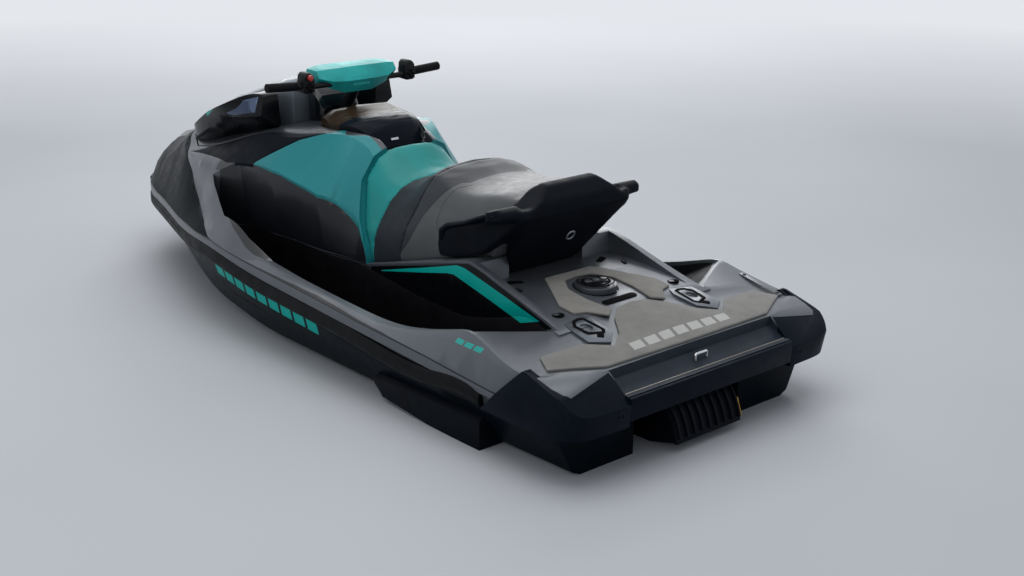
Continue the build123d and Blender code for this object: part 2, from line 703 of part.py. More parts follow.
def make_grab_handle():
    # A tapered panel behind the passenger, wings along the seat and a loop end each side.
    back_side = [(-826, 560), (-846, 560), (-860, 575), (-1040, 806), (-1042, 856), (-1004, 900),
                 (-970, 906), (-940, 880), (-930, 800)]
    back = prism_side(back_side, -300, 300) & prism_front(
        [(0, 560), (150, 560), (160, 584), (234, 770), (236, 812), (204, 838), (112, 906),
         (0, 912)], -1100, -700)
    wing_side = [(-596, 650), (-690, 728), (-840, 780), (-1030, 842), (-1040, 806), (-930, 716),
                 (-860, 664), (-720, 622), (-640, 612)]
    wing_plan = [(-590, 250), (-640, 280), (-850, 282), (-1000, 264), (-1044, 236), (-1044, 180),
                 (-590, 180)]
    wing = prism_side(wing_side, 180, 290) & prism_plan(wing_plan, 500, 900)
    loop_side = [(-890, 784), (-886, 818), (-985, 850), (-1012, 840), (-1020, 812)]
    loop = prism_side(loop_side, 226, 330) & prism_plan(
        [(-880, 240), (-900, 300), (-950, 332), (-1010, 318), (-1024, 226), (-900, 226)],
        700, 900)
    seat_space = Solid.make_loft([seat_section(x) for x in seat_stations])
    behind_seat = prism_side([(x - handle_gap, z) for x, z in seat_rear_line]
                             + [(100, 1000), (100, 300)], -400, 400)
    handle = (back + wing) + twin(wing)
    handle = (handle + loop) + twin(loop)
    handle = handle - (seat_space & behind_seat)
    pieces["grab_handle"] = keep(handle - pieces["deck"])


# Deck gear
def make_deck_gear():
    deck = pieces["deck"]
    layer = raised(blank, mat_depth)
    plate_plan = [(-1264, 205), (-1300, 190), (-1396, 196), (-1442, 248), (-1402, 306),
                  (-1282, 298)]
    plate_room = [(-1258, 200), (-1300, 184), (-1398, 190), (-1449, 248), (-1404, 312),
                  (-1278, 304)]
    rear_plan = both_halves([(-1556, 0), (-1549, 372), (-1464, 536), (-1388, 494), (-1400, 330),
                             (-1462, 255), (-1412, 182), (-1330, 120), (-1288, 70), (-1276, 0)])
    rear_mat = ((layer & prism_plan(rear_plan, 420, 600)) - deck) - blank
    pieces["rear_mat"] = keep(rear_mat - both(prism_plan(plate_room, 440, 620)))
    tray_layer = prism_side(tray_line + [(x, z + mat_depth) for x, z in reversed(tray_line)],
                            4 - tray_half, tray_half - 4)
    front_plan = [(-985, 0), (-985, 105), (-1180, 222), (-1250, 222), (-1262, 176), (-1318, 130),
                  (-1286, 92), (-1190, 108), (-1100, 104), (-1036, 60), (-1026, 0)]
    front_mat = tray_layer & prism_plan(both_halves(front_plan), 480, 640)
    pieces["front_mat"] = keep((front_mat - cap_room) - deck)
    plate = (layer & prism_plan(plate_plan, 440, 620)) - deck
    socket = rod((socket_x, socket_y, 500), (socket_x, socket_y, 600), socket_radius)
    pieces["socket_plates"] = both(keep(plate - socket))
    cap_top = cap_floor + 5 + cap_thick
    cap = rod((cap_x, 0, cap_floor + 5), (cap_x, 0, cap_top), cap_radius)
    cap = cap + rod((cap_x, 0, cap_floor - 34), (cap_x, 0, cap_floor + 6), cap_neck)
    pieces["deck_cap"] = cap + block(cap_x - 44, cap_x + 44, -7, 7, cap_top, cap_top + 8)
    hook = rod((-1592, -26, 456), (-1592, 26, 456), 5)
    for y in (-26, 26):
        hook = hook + rod((-1592, y, 430), (-1592, y, 456), 5)
    pieces["tow_hook"] = hook - deck


# Rails, nose and bow eye
def rail_section(x):
    b = half(x)
    low = rail_foot(x) + 2
    high = band_foot(x) - 1
    corners = [(b - 44, low), (b - 7, low + 3), (b, low + 14), (b, high - 10), (b - 5, high),
               (b - 44, high)]
    return Wire.make_polygon([Vector(x, y, z) for y, z in corners], close=True)


def make_rails_and_nose():
    rail = Solid.make_loft([rail_section(x) for x in rail_stations])
    pieces["rub_rails"] = both(keep((rail - blank) - pieces["corner_bumpers"]))
    port = [(1500, half(1500) + 4), (1560, half(1560) + 6), (1612, half(1612) + 8), (1648, 62),
            (bow, 0)]
    rim = Edge.make_spline([Vector(x, y, 396) for x, y in both_halves(port)])
    face = Face(Wire([rim, Edge.make_line(rim @ 1, rim @ 0)]))
    nose = Solid.extrude(face, Vector(0, 0, 108)) - blank
    pieces["nose_bumper"] = keep(nose - pieces["bow_shell"])
    eye = prism_side([(1520, 300), (1536, 240), (1580, 236), (1612, 248), (1620, 276),
                      (1600, 300)], -eye_thickness / 2, eye_thickness / 2)
    eye = eye - rod((eye_x, -20, eye_z), (eye_x, 20, eye_z), eye_radius)
    pieces["bow_eye"] = keep((eye - pieces["hull"]) - pieces["hull_topsides"], 500)


# Jet drive
def about_pump(profile):
    # Turn an (x, radius) outline about the pump's axis.
    face = Face(Wire.make_polygon([Vector(x, 0, pump_height + r) for x, r in profile],
                                  close=True))
    return Solid.revolve(face, 360, Axis((0, 0, pump_height), (1, 0, 0)))


def twisted_vane(x0, x1, r0, r1, thick, turn, start):
    # A thin radial blade that turns as it runs along the pump's axis.
    steps = 4
    wires = []
    for i in range(steps + 1):
        x = x0 + (x1 - x0) * i / steps
        a = radians(start + turn * i / steps)
        corners = [(r0, -thick / 2), (r1, -thick / 2), (r1, thick / 2), (r0, thick / 2)]
        wires.append(Wire.make_polygon([
            Vector(x, r * cos(a) - t * sin(a), pump_height + r * sin(a) + t * cos(a))
            for r, t in corners], close=True))
    return Solid.make_loft(wires, ruled=True)


def make_pump():
    outlet = outlet_radius + outlet_wall
    pump_outer = pump_bore + pump_wall
    housing = about_pump([(-1206, pump_bore), (-1374, pump_bore), (-1422, outlet_radius),
                          (-1462, outlet_radius), (-1462, outlet), (-1426, outlet),
                          (-1380, pump_outer), (-1206, pump_outer)])
    housing = housing + about_pump([(-1314, 0), (-1314, hub_radius), (-1368, hub_radius),
                                    (-1412, 12), (-1416, 0)])
    for i in range(vane_count):
        housing = housing + twisted_vane(-1320, -1366, hub_radius - 4, pump_bore + 3, 5, 18,
                                         i * 360 / vane_count)
    for side in (1, -1):
        z0, z1 = sorted((pump_height + side * lug_inner, pump_height + side * lug_outer))
        lug = block(-1492, -1392, -16, 16, z0, z1)
        bore = rod((nozzle_pivot_x, 0, z0 - 20), (nozzle_pivot_x, 0, z1 + 20),
                   nozzle_pin + pin_gap)
        housing = housing + (lug - bore)
    clear_of_jet = about_pump([(-1206, 0), (-1500, 0), (-1500, 46), (-1440, 46), (-1388, 90),
                               (-1206, 90)])
    for side in (1, -1):
        boss = block(gate_pivot_x - 16, gate_pivot_x + 46, *sorted((side * 74, side * 98)),
                     gate_pivot_z - 14, gate_pivot_z + 14)
        stub = rod((gate_pivot_x, side * 90, gate_pivot_z),
                   (gate_pivot_x, side * 116, gate_pivot_z), 16)
        pin = rod((gate_pivot_x, side * 110, gate_pivot_z),
                  (gate_pivot_x, side * 142, gate_pivot_z), gate_pin)
        housing = housing + (boss - clear_of_jet)
        housing = housing + stub + pin
    pieces["pump_housing"] = keep(housing)

    impeller = about_pump([(-1308, 0), (-1308, hub_radius), (-1240, 34), (-1222, 20),
                           (-1222, 0)])
    for i in range(blade_count):
        impeller = impeller + twisted_vane(-1304, -1236, 26, pump_bore - tip_gap, 5, 95,
                                           i * 360 / blade_count)
    pieces["impeller"] = impeller + rod((-1230, 0, pump_height),
                                        (engine_rear + 26, 0, pump_height), shaft_radius)


def make_nozzle():
    nozzle = about_pump([(-1462, 68), (-1480, 64), (nozzle_mouth_x, 42), (nozzle_mouth_x, 50),
                         (-1480, 74), (-1462, 76)])
    for side in (1, -1):
        nozzle = nozzle + rod((nozzle_pivot_x, 0, pump_height + side * 69),
                              (nozzle_pivot_x, 0, pump_height + side * (lug_outer - 1)),
                              nozzle_pin)
    pieces["nozzle"] = nozzle


def gate_point(radius, angle, y):
    a = radians(angle)
    return Vector(gate_pivot_x - radius * cos(a), y, gate_pivot_z + radius * sin(a))


def gate_band(r0, r1, a0, a1, y0, y1):
    middle = (a0 + a1) / 2
    inner = Edge.make_three_point_arc(gate_point(r0, a0, y0), gate_point(r0, middle, y0),
                                      gate_point(r0, a1, y0))
    outer = Edge.make_three_point_arc(gate_point(r1, a1, y0), gate_point(r1, middle, y0),
                                      gate_point(r1, a0, y0))
    ends = [Edge.make_line(inner @ 1, outer @ 0), Edge.make_line(outer @ 1, inner @ 0)]
    face = Face(Wire([inner, ends[0], outer, ends[1]]))
    return Solid.extrude(face, Vector(0, y1 - y0, 0))


def make_gate():
    # A ribbed scoop that hangs on two pins and swings down over the jet.
    cheek_in, cheek_out = gate_half_width - 28, gate_half_width - 12
    gate = gate_band(gate_inner, gate_outer - 10, 8, 70, -gate_half_width, gate_half_width)
    rib_pitch = (2 * gate_half_width - 20) / (gate_ribs - 1)
    for i in range(gate_ribs):
        y = -gate_half_width + 6 + i * rib_pitch
        gate = gate + gate_band(gate_outer - 12, gate_outer, 12, 66, y, y + 8)
    corners = [(24, -60), (gate_inner + 6, 8), (gate_inner + 6, 30), (gate_inner + 6, 50),
               (gate_inner + 6, 70), (24, 140)]
    outline = [(gate_point(r, a, 0).X, gate_point(r, a, 0).Z) for r, a in corners]
    for side in (1, -1):
        y0, y1 = sorted((side * cheek_in, side * cheek_out))
        cheek = prism_side(outline, y0, y1) + rod((gate_pivot_x, y0, gate_pivot_z),
                                                  (gate_pivot_x, y1, gate_pivot_z), 26)
        cheek = cheek - rod((gate_pivot_x, y0 - 5, gate_pivot_z),
                            (gate_pivot_x, y1 + 5, gate_pivot_z), gate_pin + pin_gap)
        gate = gate + cheek
    pieces["reverse_gate"] = gate


def make_engine():
    engine = block(engine_rear, engine_front, -engine_width / 2, engine_width / 2,
                   engine_bottom, engine_top)
    pieces["engine_block"] = engine - rod((engine_rear - 5, 0, pump_height),
                                          (engine_rear + 30, 0, pump_height),
                                          shaft_radius + pin_gap)


# Steering
def down_column(distance):
    lean = radians(column_tilt)
    return (bar_x + distance * sin(lean), 0, bar_height - distance * cos(lean))


def make_steering():
    hole = rod(down_column(20), down_column(330), column_radius + lid_gap)
    pieces["console"] = keep(pieces["console"] - hole)
    bar = rod((196, -231, 1081), (196, 231, 1081), bar_radius)
    for side in (1, -1):
        bar = bar + rod((196, side * 228, 1081), (213, side * 300, 1087), bar_radius)
        bar = bar + rod((212, side * 296, 1087), (213, side * 398, 1093), bar_radius)
        bar = bar + block(180, 226, *sorted((side * pod_inner, side * pod_outer)), 1064, 1106)
    bar = bar + block(176, 232, -40, 40, 1066, 1098)
    pieces["handlebar"] = bar
    pieces["steering_column"] = rod(down_column(6), down_column(290), column_radius) - bar
    grip = rod((212.3, 276, 1086), (213, 404, 1093), grip_radius) - bar
    pieces["grips"] = both(keep(grip))
    levers = [rod((205, side * 240, 1078), (268, side * 262, 1074), 5)
              + rod((268, side * 260, 1074), (262, side * 372, 1082), 5) for side in (1, -1)]
    pieces["control_levers"] = Compound([lever - bar for lever in levers])

    middle = [(196, 1040), (170, 1088), (206, 1136), (290, 1142), (306, 1112), (262, 1050)]
    knee = [(198, 1062), (172, 1092), (206, 1136), (290, 1142), (306, 1114), (262, 1066)]
    end = [(204, 1096), (196, 1106), (214, 1132), (276, 1136), (284, 1122), (262, 1100)]
    pad = Solid.make_loft([
        Wire.make_polygon([Vector(x, y, z) for x, z in ring], close=True)
        for y, ring in ((-182, end), (-128, knee), (-64, middle), (64, middle), (128, knee),
                        (182, end))], ruled=True)
    pieces["handlebar_pad"] = keep((pad - bar) - rod(down_column(6), down_column(290),
                                                     column_radius))

    dash = Solid.make_loft([
        mirrored(x, [(0, 860), (w, 860), (w, top - 16), (0.8 * w, top), (0, top)])
        for x, w, top in ((318, 84, 968), (345, 92, 1010), (385, 92, 1036), (420, 84, 1042))],
        ruled=True)
    pieces["dash"] = keep((dash - front_outer) - hole)


make_bumpers()
make_glovebox()
make_front()
make_hood_fittings()
make_deck_and_hull()
make_bottom()
make_seat()
make_grab_handle()
make_deck_gear()
make_rails_and_nose()
make_pump()
make_nozzle()
make_gate()
make_engine()
make_steering()

for name, piece in pieces.items():
    export_step(raised(piece, -draught), "parts/" + name + ".step")
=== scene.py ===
import json
import math
import bpy
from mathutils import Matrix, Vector
from mathutils.bvhtree import BVHTree


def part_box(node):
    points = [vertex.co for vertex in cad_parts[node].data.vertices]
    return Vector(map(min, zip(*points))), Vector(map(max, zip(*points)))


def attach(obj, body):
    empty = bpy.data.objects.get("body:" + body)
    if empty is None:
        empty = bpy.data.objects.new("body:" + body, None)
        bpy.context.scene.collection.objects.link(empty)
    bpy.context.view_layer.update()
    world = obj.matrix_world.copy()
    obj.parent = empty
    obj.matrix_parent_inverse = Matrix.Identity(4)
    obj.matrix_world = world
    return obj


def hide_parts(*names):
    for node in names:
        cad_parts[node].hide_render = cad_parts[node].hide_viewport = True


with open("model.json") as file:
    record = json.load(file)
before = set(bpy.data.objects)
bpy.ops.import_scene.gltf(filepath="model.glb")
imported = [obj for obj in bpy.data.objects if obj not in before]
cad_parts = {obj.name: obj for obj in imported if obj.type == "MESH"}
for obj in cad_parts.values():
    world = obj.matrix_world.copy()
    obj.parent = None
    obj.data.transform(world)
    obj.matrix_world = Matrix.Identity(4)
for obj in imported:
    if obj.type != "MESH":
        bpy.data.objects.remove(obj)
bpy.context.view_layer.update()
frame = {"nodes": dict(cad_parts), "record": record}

bodyOf = {node: body for body, nodes in frame["record"]["behaviour"]["bodies"].items() for node in nodes}
slotOf = {part["node"]: part["material_slot"] for part in frame["record"]["subparts"]}


def deselectAll():
    if bpy.context.object and bpy.context.object.mode != "OBJECT":
        bpy.ops.object.mode_set(mode="OBJECT")
    bpy.ops.object.select_all(action="DESELECT")


def pick(piece):
    deselectAll()
    piece.select_set(True)
    bpy.context.view_layer.objects.active = piece


# Camera
view = {"place": (-4.37254, 3.24360, 1.85703), "yaw": -41.458, "pitch": -17.819, "width": 39.009}


def makeCamera():
    yaw = math.radians(view["yaw"])
    pitch = math.radians(view["pitch"])
    look = Vector((math.cos(pitch) * math.cos(yaw), math.cos(pitch) * math.sin(yaw), math.sin(pitch)))
    bpy.ops.object.camera_add(location=view["place"], rotation=look.to_track_quat("-Z", "Y").to_euler())
    camera = bpy.context.object
    camera.name = "viewCamera"
    camera.data.sensor_width = 36.0
    camera.data.lens = 18.0 / math.tan(math.radians(view["width"]) / 2)
    camera.data.clip_start = 0.05
    camera.data.clip_end = 200.0
    bpy.context.scene.camera = camera


# Materials
def newMaterial(name, roughness=0.5, metallic=0.0, coat=0.0, coatRoughness=0.03, specular=0.5, sheen=0.0):
    material = bpy.data.materials.new(name)
    material.use_nodes = True
    shader = material.node_tree.nodes["Principled BSDF"]
    shader.inputs["Roughness"].default_value = roughness
    shader.inputs["Metallic"].default_value = metallic
    shader.inputs["Coat Weight"].default_value = coat
    shader.inputs["Coat Roughness"].default_value = coatRoughness
    shader.inputs["Specular IOR Level"].default_value = specular
    shader.inputs["Sheen Weight"].default_value = sheen
    return material, material.node_tree, shader


def objectPlace(tree, scale=(1, 1, 1), turn=(0, 0, 0), shift=(0, 0, 0)):
    coordinates = tree.nodes.new("ShaderNodeTexCoord")
    mapping = tree.nodes.new("ShaderNodeMapping")
    mapping.inputs["Scale"].default_value = scale
    mapping.inputs["Rotation"].default_value = turn
    mapping.inputs["Location"].default_value = shift
    tree.links.new(coordinates.outputs["Object"], mapping.inputs["Vector"])
    return mapping.outputs["Vector"]


def noise(tree, place, scale, detail=3.0, roughness=0.5):
    node = tree.nodes.new("ShaderNodeTexNoise")
    node.inputs["Scale"].default_value = scale
    node.inputs["Detail"].default_value = detail
    node.inputs["Roughness"].default_value = roughness
    tree.links.new(place, node.inputs["Vector"])
    return node.outputs["Fac"]


def ramp(tree, factor, stops):
    node = tree.nodes.new("ShaderNodeValToRGB")
    while len(node.color_ramp.elements) < len(stops):
        node.color_ramp.elements.new(0.5)
    for element, (at, colour) in zip(node.color_ramp.elements, stops):
        element.position = at
        element.color = (*colour, 1.0)
    tree.links.new(factor, node.inputs["Fac"])
    return node.outputs["Color"]


def greyRamp(tree, factor, stops):
    return ramp(tree, factor, [(at, (value, value, value)) for at, value in stops])


def bump(tree, shader, height, strength, distance):
    node = tree.nodes.new("ShaderNodeBump")
    node.inputs["Strength"].default_value = strength
    node.inputs["Distance"].default_value = distance
    tree.links.new(height, node.inputs["Height"])
    tree.links.new(node.outputs["Normal"], shader.inputs["Normal"])


def maths(tree, kind, first, second=None, third=None):
    node = tree.nodes.new("ShaderNodeMath")
    node.operation = kind
    for socket, value in zip(node.inputs, (first, second, third)):
        if value is None:
            continue
        if isinstance(value, (int, float)):
            socket.default_value = value
        else:
            tree.links.new(value, socket)
    return node.outputs["Value"]


def mixColour(tree, factor, first, second):
    node = tree.nodes.new("ShaderNodeMix")
    node.data_type = "RGBA"
    for socket, value in ((node.inputs["Factor"], factor), (node.inputs[6], first), (node.inputs[7], second)):
        if isinstance(value, (int, float)):
            socket.default_value = value
        elif isinstance(value, tuple):
            socket.default_value = (*value, 1.0)
        else:
            tree.links.new(value, socket)
    return node.outputs[2]


def split(tree, place):
    node = tree.nodes.new("ShaderNodeSeparateXYZ")
    tree.links.new(place, node.inputs["Vector"])
    return [node.outputs[axis] for axis in "XYZ"]


def insideOf(tree, place, outlines, axes=(0, 2), soft=0.0004, bothSides=False):
    # 1 inside any of the convex outlines, each drawn anticlockwise in two of the object's axes.
    parts = split(tree, place)
    across, up = parts[axes[0]], parts[axes[1]]
    if bothSides:
        up = maths(tree, "ABSOLUTE", up)
    total = None
    for outline in outlines:
        inner = None
        for (u0, v0), (u1, v1) in zip(outline, outline[1:] + outline[:1]):
            length = math.hypot(u1 - u0, v1 - v0)
            nu, nv = -(v1 - v0) / length, (u1 - u0) / length
            near = maths(tree, "MULTIPLY_ADD", up, nv, -(nu * u0 + nv * v0))
            near = maths(tree, "MULTIPLY_ADD", across, nu, near)
            inner = near if inner is None else maths(tree, "MINIMUM", inner, near)
        total = inner if total is None else maths(tree, "MAXIMUM", total, inner)
    edge = maths(tree, "MULTIPLY_ADD", total, 1.0 / soft, 0.5)
    return maths(tree, "MINIMUM", maths(tree, "MAXIMUM", edge, 0.0), 1.0)


def ribbon(points, width):
    # Thin convex outlines along a line of points, for a drawn line or a seam.
    strips = []
    for (u0, v0), (u1, v1) in zip(points, points[1:]):
        length = math.hypot(u1 - u0, v1 - v0)
        du, dv = (u1 - u0) / length * width / 2, (v1 - v0) / length * width / 2
        strips.append([(u0 - du + dv, v0 - dv - du), (u1 + du + dv, v1 + dv - du),
                       (u1 + du - dv, v1 + dv + du), (u0 - du - dv, v0 - dv + du)])
    return strips


def anticlockwise(outline):
    area = sum(u0 * v1 - u1 * v0 for (u0, v0), (u1, v1) in zip(outline, outline[1:] + outline[:1]))
    return outline if area > 0 else outline[::-1]


def paintOver(material, mask, colour, roughness=None, metallic=None):
    # Lays a second colour, and if wanted another gloss, over a finished material where the mask is 1.
    tree = material.node_tree
    shader = tree.nodes["Principled BSDF"]
    for name, value in (("Base Color", colour), ("Roughness", roughness), ("Metallic", metallic)):
        if value is None:
            continue
        socket = shader.inputs[name]
        under = socket.links[0].from_socket if socket.is_linked else socket.default_value
        if name == "Base Color":
            under = under if socket.is_linked else tuple(under)[:3]
            result = mixColour(tree, mask, under, value)
        else:
            keepShare = maths(tree, "MULTIPLY", maths(tree, "SUBTRACT", 1.0, mask), under)
            result = maths(tree, "MULTIPLY_ADD", mask, value, keepShare)
        tree.links.new(result, socket)


def tint(colour, share):
    return tuple(min(1.0, c * share) for c in colour)


def metallicPaint(name, colour, roughness=0.4, metallic=0.5, coat=0.3):
    # Fine flakes under a clear coat, with a slow drift of tone and faint dust in the roughness.
    material, tree, shader = newMaterial(name, roughness, metallic, coat, 0.2, 0.4)
    place = objectPlace(tree)
    flakes = noise(tree, place, 2600.0, 1.0)
    drift = noise(tree, place, 3.0, 2.0)
    fleck = ramp(tree, flakes, [(0.35, tint(colour, 0.82)), (0.62, tint(colour, 1.0)),
                                (0.75, tint(colour, 1.5))])
    base = mixColour(tree, maths(tree, "MULTIPLY", drift, 0.25), fleck, tint(colour, 0.7))
    tree.links.new(base, shader.inputs["Base Color"])
    dust = greyRamp(tree, noise(tree, place, 14.0, 5.0), [(0.3, roughness - 0.04), (0.75, roughness + 0.08)])
    tree.links.new(dust, shader.inputs["Roughness"])
    bump(tree, shader, flakes, 0.03, 0.0004)
    return material


def glossMoulding(name, colour, roughness=0.14, coat=0.6, specular=0.5):
    # Gloss moulded plastic: faint orange peel and handling marks.
    material, tree, shader = newMaterial(name, roughness, 0.0, coat, 0.04, specular)
    place = objectPlace(tree)
    drift = noise(tree, place, 6.0, 3.0)
    tree.links.new(ramp(tree, drift, [(0.3, tint(colour, 0.85)), (0.7, tint(colour, 1.15))]),
                   shader.inputs["Base Color"])
    smears = greyRamp(tree, noise(tree, place, 30.0, 6.0, 0.7), [(0.4, roughness), (0.8, roughness + 0.16)])
    tree.links.new(smears, shader.inputs["Roughness"])
    bump(tree, shader, noise(tree, place, 260.0, 2.0), 0.03, 0.0006)
    return material


def grainedPlastic(name, colour, roughness=0.55, grain=520.0, depth=0.25, specular=0.5):
    # Moulded plastic with a fine leathery grain, a little paler where it has been rubbed.
    material, tree, shader = newMaterial(name, roughness, 0.0, specular=specular)
    place = objectPlace(tree)
    cells = tree.nodes.new("ShaderNodeTexVoronoi")
    cells.inputs["Scale"].default_value = grain
    tree.links.new(place, cells.inputs["Vector"])
    drift = noise(tree, place, 9.0, 4.0)
    tree.links.new(ramp(tree, drift, [(0.3, tint(colour, 0.8)), (0.75, tint(colour, 1.35))]),
                   shader.inputs["Base Color"])
    rubbed = greyRamp(tree, noise(tree, place, 22.0, 5.0),
                      [(0.35, roughness - 0.07), (0.7, roughness + 0.08)])
    tree.links.new(rubbed, shader.inputs["Roughness"])
    bump(tree, shader, cells.outputs["Distance"], depth, 0.0005)
    return material


def castMetal(name, colour, roughness=0.35, metallic=1.0, grain=700.0):
    material, tree, shader = newMaterial(name, roughness, metallic)
    place = objectPlace(tree)
    speck = noise(tree, place, grain, 4.0)
    tree.links.new(ramp(tree, speck, [(0.3, tint(colour, 0.7)), (0.7, tint(colour, 1.1))]),
                   shader.inputs["Base Color"])
    tree.links.new(greyRamp(tree, speck, [(0.3, roughness - 0.1), (0.7, roughness + 0.12)]),
                   shader.inputs["Roughness"])
    bump(tree, shader, speck, 0.15, 0.0006)
    return material


def vinyl(name, colour, roughness=0.42, sheen=0.15, specular=0.22):
    # Seat vinyl: pebbled grain over slow wrinkles, with a soft sheen.
    material, tree, shader = newMaterial(name, roughness, 0.0, specular=specular, sheen=sheen)
    place = objectPlace(tree)
    pebble = tree.nodes.new("ShaderNodeTexVoronoi")
    pebble.inputs["Scale"].default_value = 620.0
    tree.links.new(place, pebble.inputs["Vector"])
    drift = noise(tree, place, 7.0, 4.0)
    tree.links.new(ramp(tree, drift, [(0.3, tint(colour, 0.88)), (0.7, tint(colour, 1.1))]),
                   shader.inputs["Base Color"])
    worn = greyRamp(tree, noise(tree, place, 40.0, 5.0), [(0.35, roughness - 0.06), (0.7, roughness + 0.08)])
    tree.links.new(worn, shader.inputs["Roughness"])
    height = maths(tree, "MULTIPLY_ADD", noise(tree, place, 26.0, 2.0), 3.0, pebble.outputs["Distance"])
    bump(tree, shader, height, 0.22, 0.0007)
    return material


def foamMat(name, colour):
    # Closed-cell foam: open pores and paler scuffs.
    material, tree, shader = newMaterial(name, 0.85, 0.0, sheen=0.2)
    place = objectPlace(tree)
    pores = tree.nodes.new("ShaderNodeTexVoronoi")
    pores.inputs["Scale"].default_value = 420.0
    tree.links.new(place, pores.inputs["Vector"])
    scuff = noise(tree, place, 16.0, 6.0, 0.65)
    tree.links.new(ramp(tree, scuff, [(0.3, tint(colour, 0.85)), (0.72, tint(colour, 1.18))]),
                   shader.inputs["Base Color"])
    bump(tree, shader, pores.outputs["Distance"], 0.5, 0.0012)
    return material


bolsterTone = (0.019, 0.023, 0.029)
finish = {
    "core_foam": lambda name: foamMat(name, (0.55, 0.48, 0.36)),
    "hull_gloss": lambda name: glossMoulding(name, (0.0025, 0.0055, 0.009), 0.28, 0.0, 0.04),
    "deck_paint": lambda name: metallicPaint(name, (0.118, 0.130, 0.147)),
    "fender_paint": lambda name: metallicPaint(name, (0.095, 0.105, 0.12)),
    "bow_gloss": lambda name: glossMoulding(name, (0.009, 0.012, 0.015), 0.27, 0.0, 0.015),
    "hood_gloss": lambda name: metallicPaint(name, (0.045, 0.051, 0.06), 0.36, 0.5),
    "cowl_plastic": lambda name: metallicPaint(name, (0.18, 0.208, 0.24), 0.4, 0.5),
    "black_plastic": lambda name: grainedPlastic(name, (0.0035, 0.0052, 0.0085), 0.5, specular=0.06),
    "panel_gloss": lambda name: glossMoulding(name, (0.003, 0.0035, 0.005), 0.2, 0.0, 0.12),
    "teal_panel": lambda name: metallicPaint(name, (0.007, 0.24, 0.26), 0.42, 0.15, 0.05),
    "teal_pad": lambda name: grainedPlastic(name, (0.015, 0.36, 0.345), 0.45, specular=0.3),
    "teal_vinyl": lambda name: vinyl(name, (0.008, 0.29, 0.28), 0.4, 0.08, 0.3),
    "dark_vinyl": lambda name: vinyl(name, bolsterTone, 0.5, 0.03, 0.2),
    "grey_vinyl": lambda name: vinyl(name, (0.082, 0.087, 0.090), 0.42, 0.05, 0.35),
    "mat_foam": lambda name: foamMat(name, (0.22, 0.214, 0.20)),
    # The footwell liners are near black for their own black plastic, and also as painted shade for the shade
    # inside the footwells.
    "liner_rubber": lambda name: grainedPlastic(name, (0.003, 0.003, 0.004), 0.6, specular=0.1),
    "bumper_plastic": lambda name: grainedPlastic(name, (0.0026, 0.0052, 0.011), 0.42, 700.0, 0.1, 0.06),
    "rail_rubber": lambda name: grainedPlastic(name, (0.003, 0.0035, 0.0045), 0.5, specular=0.1),
    "mirror_glass": lambda name: castMetal(name, (0.10, 0.13, 0.20), 0.1, 1.0, 5.0),
    "mirror_shell": lambda name: glossMoulding(name, (0.004, 0.005, 0.007), 0.2, 0.1, 0.12),
    "screen": lambda name: glossMoulding(name, (0.006, 0.008, 0.011), 0.14, 0.2, 0.3),
    "grip_rubber": lambda name: grainedPlastic(name, (0.004, 0.004, 0.005), 0.7, 300.0, 0.5, 0.12),
    "bar_metal": lambda name: grainedPlastic(name, (0.004, 0.005, 0.006), 0.42, 900.0, 0.1, 0.15),
    "alloy": lambda name: castMetal(name, (0.55, 0.55, 0.56), 0.4),
    "steel": lambda name: castMetal(name, (0.65, 0.65, 0.66), 0.2),
    "engine_alloy": lambda name: castMetal(name, (0.3, 0.3, 0.31), 0.5),
    "cap_plastic": lambda name: metallicPaint(name, (0.075, 0.083, 0.095), 0.4, 0.5),
}
materials = {slot: make(slot) for slot, make in finish.items()}
print("materials", len(materials))


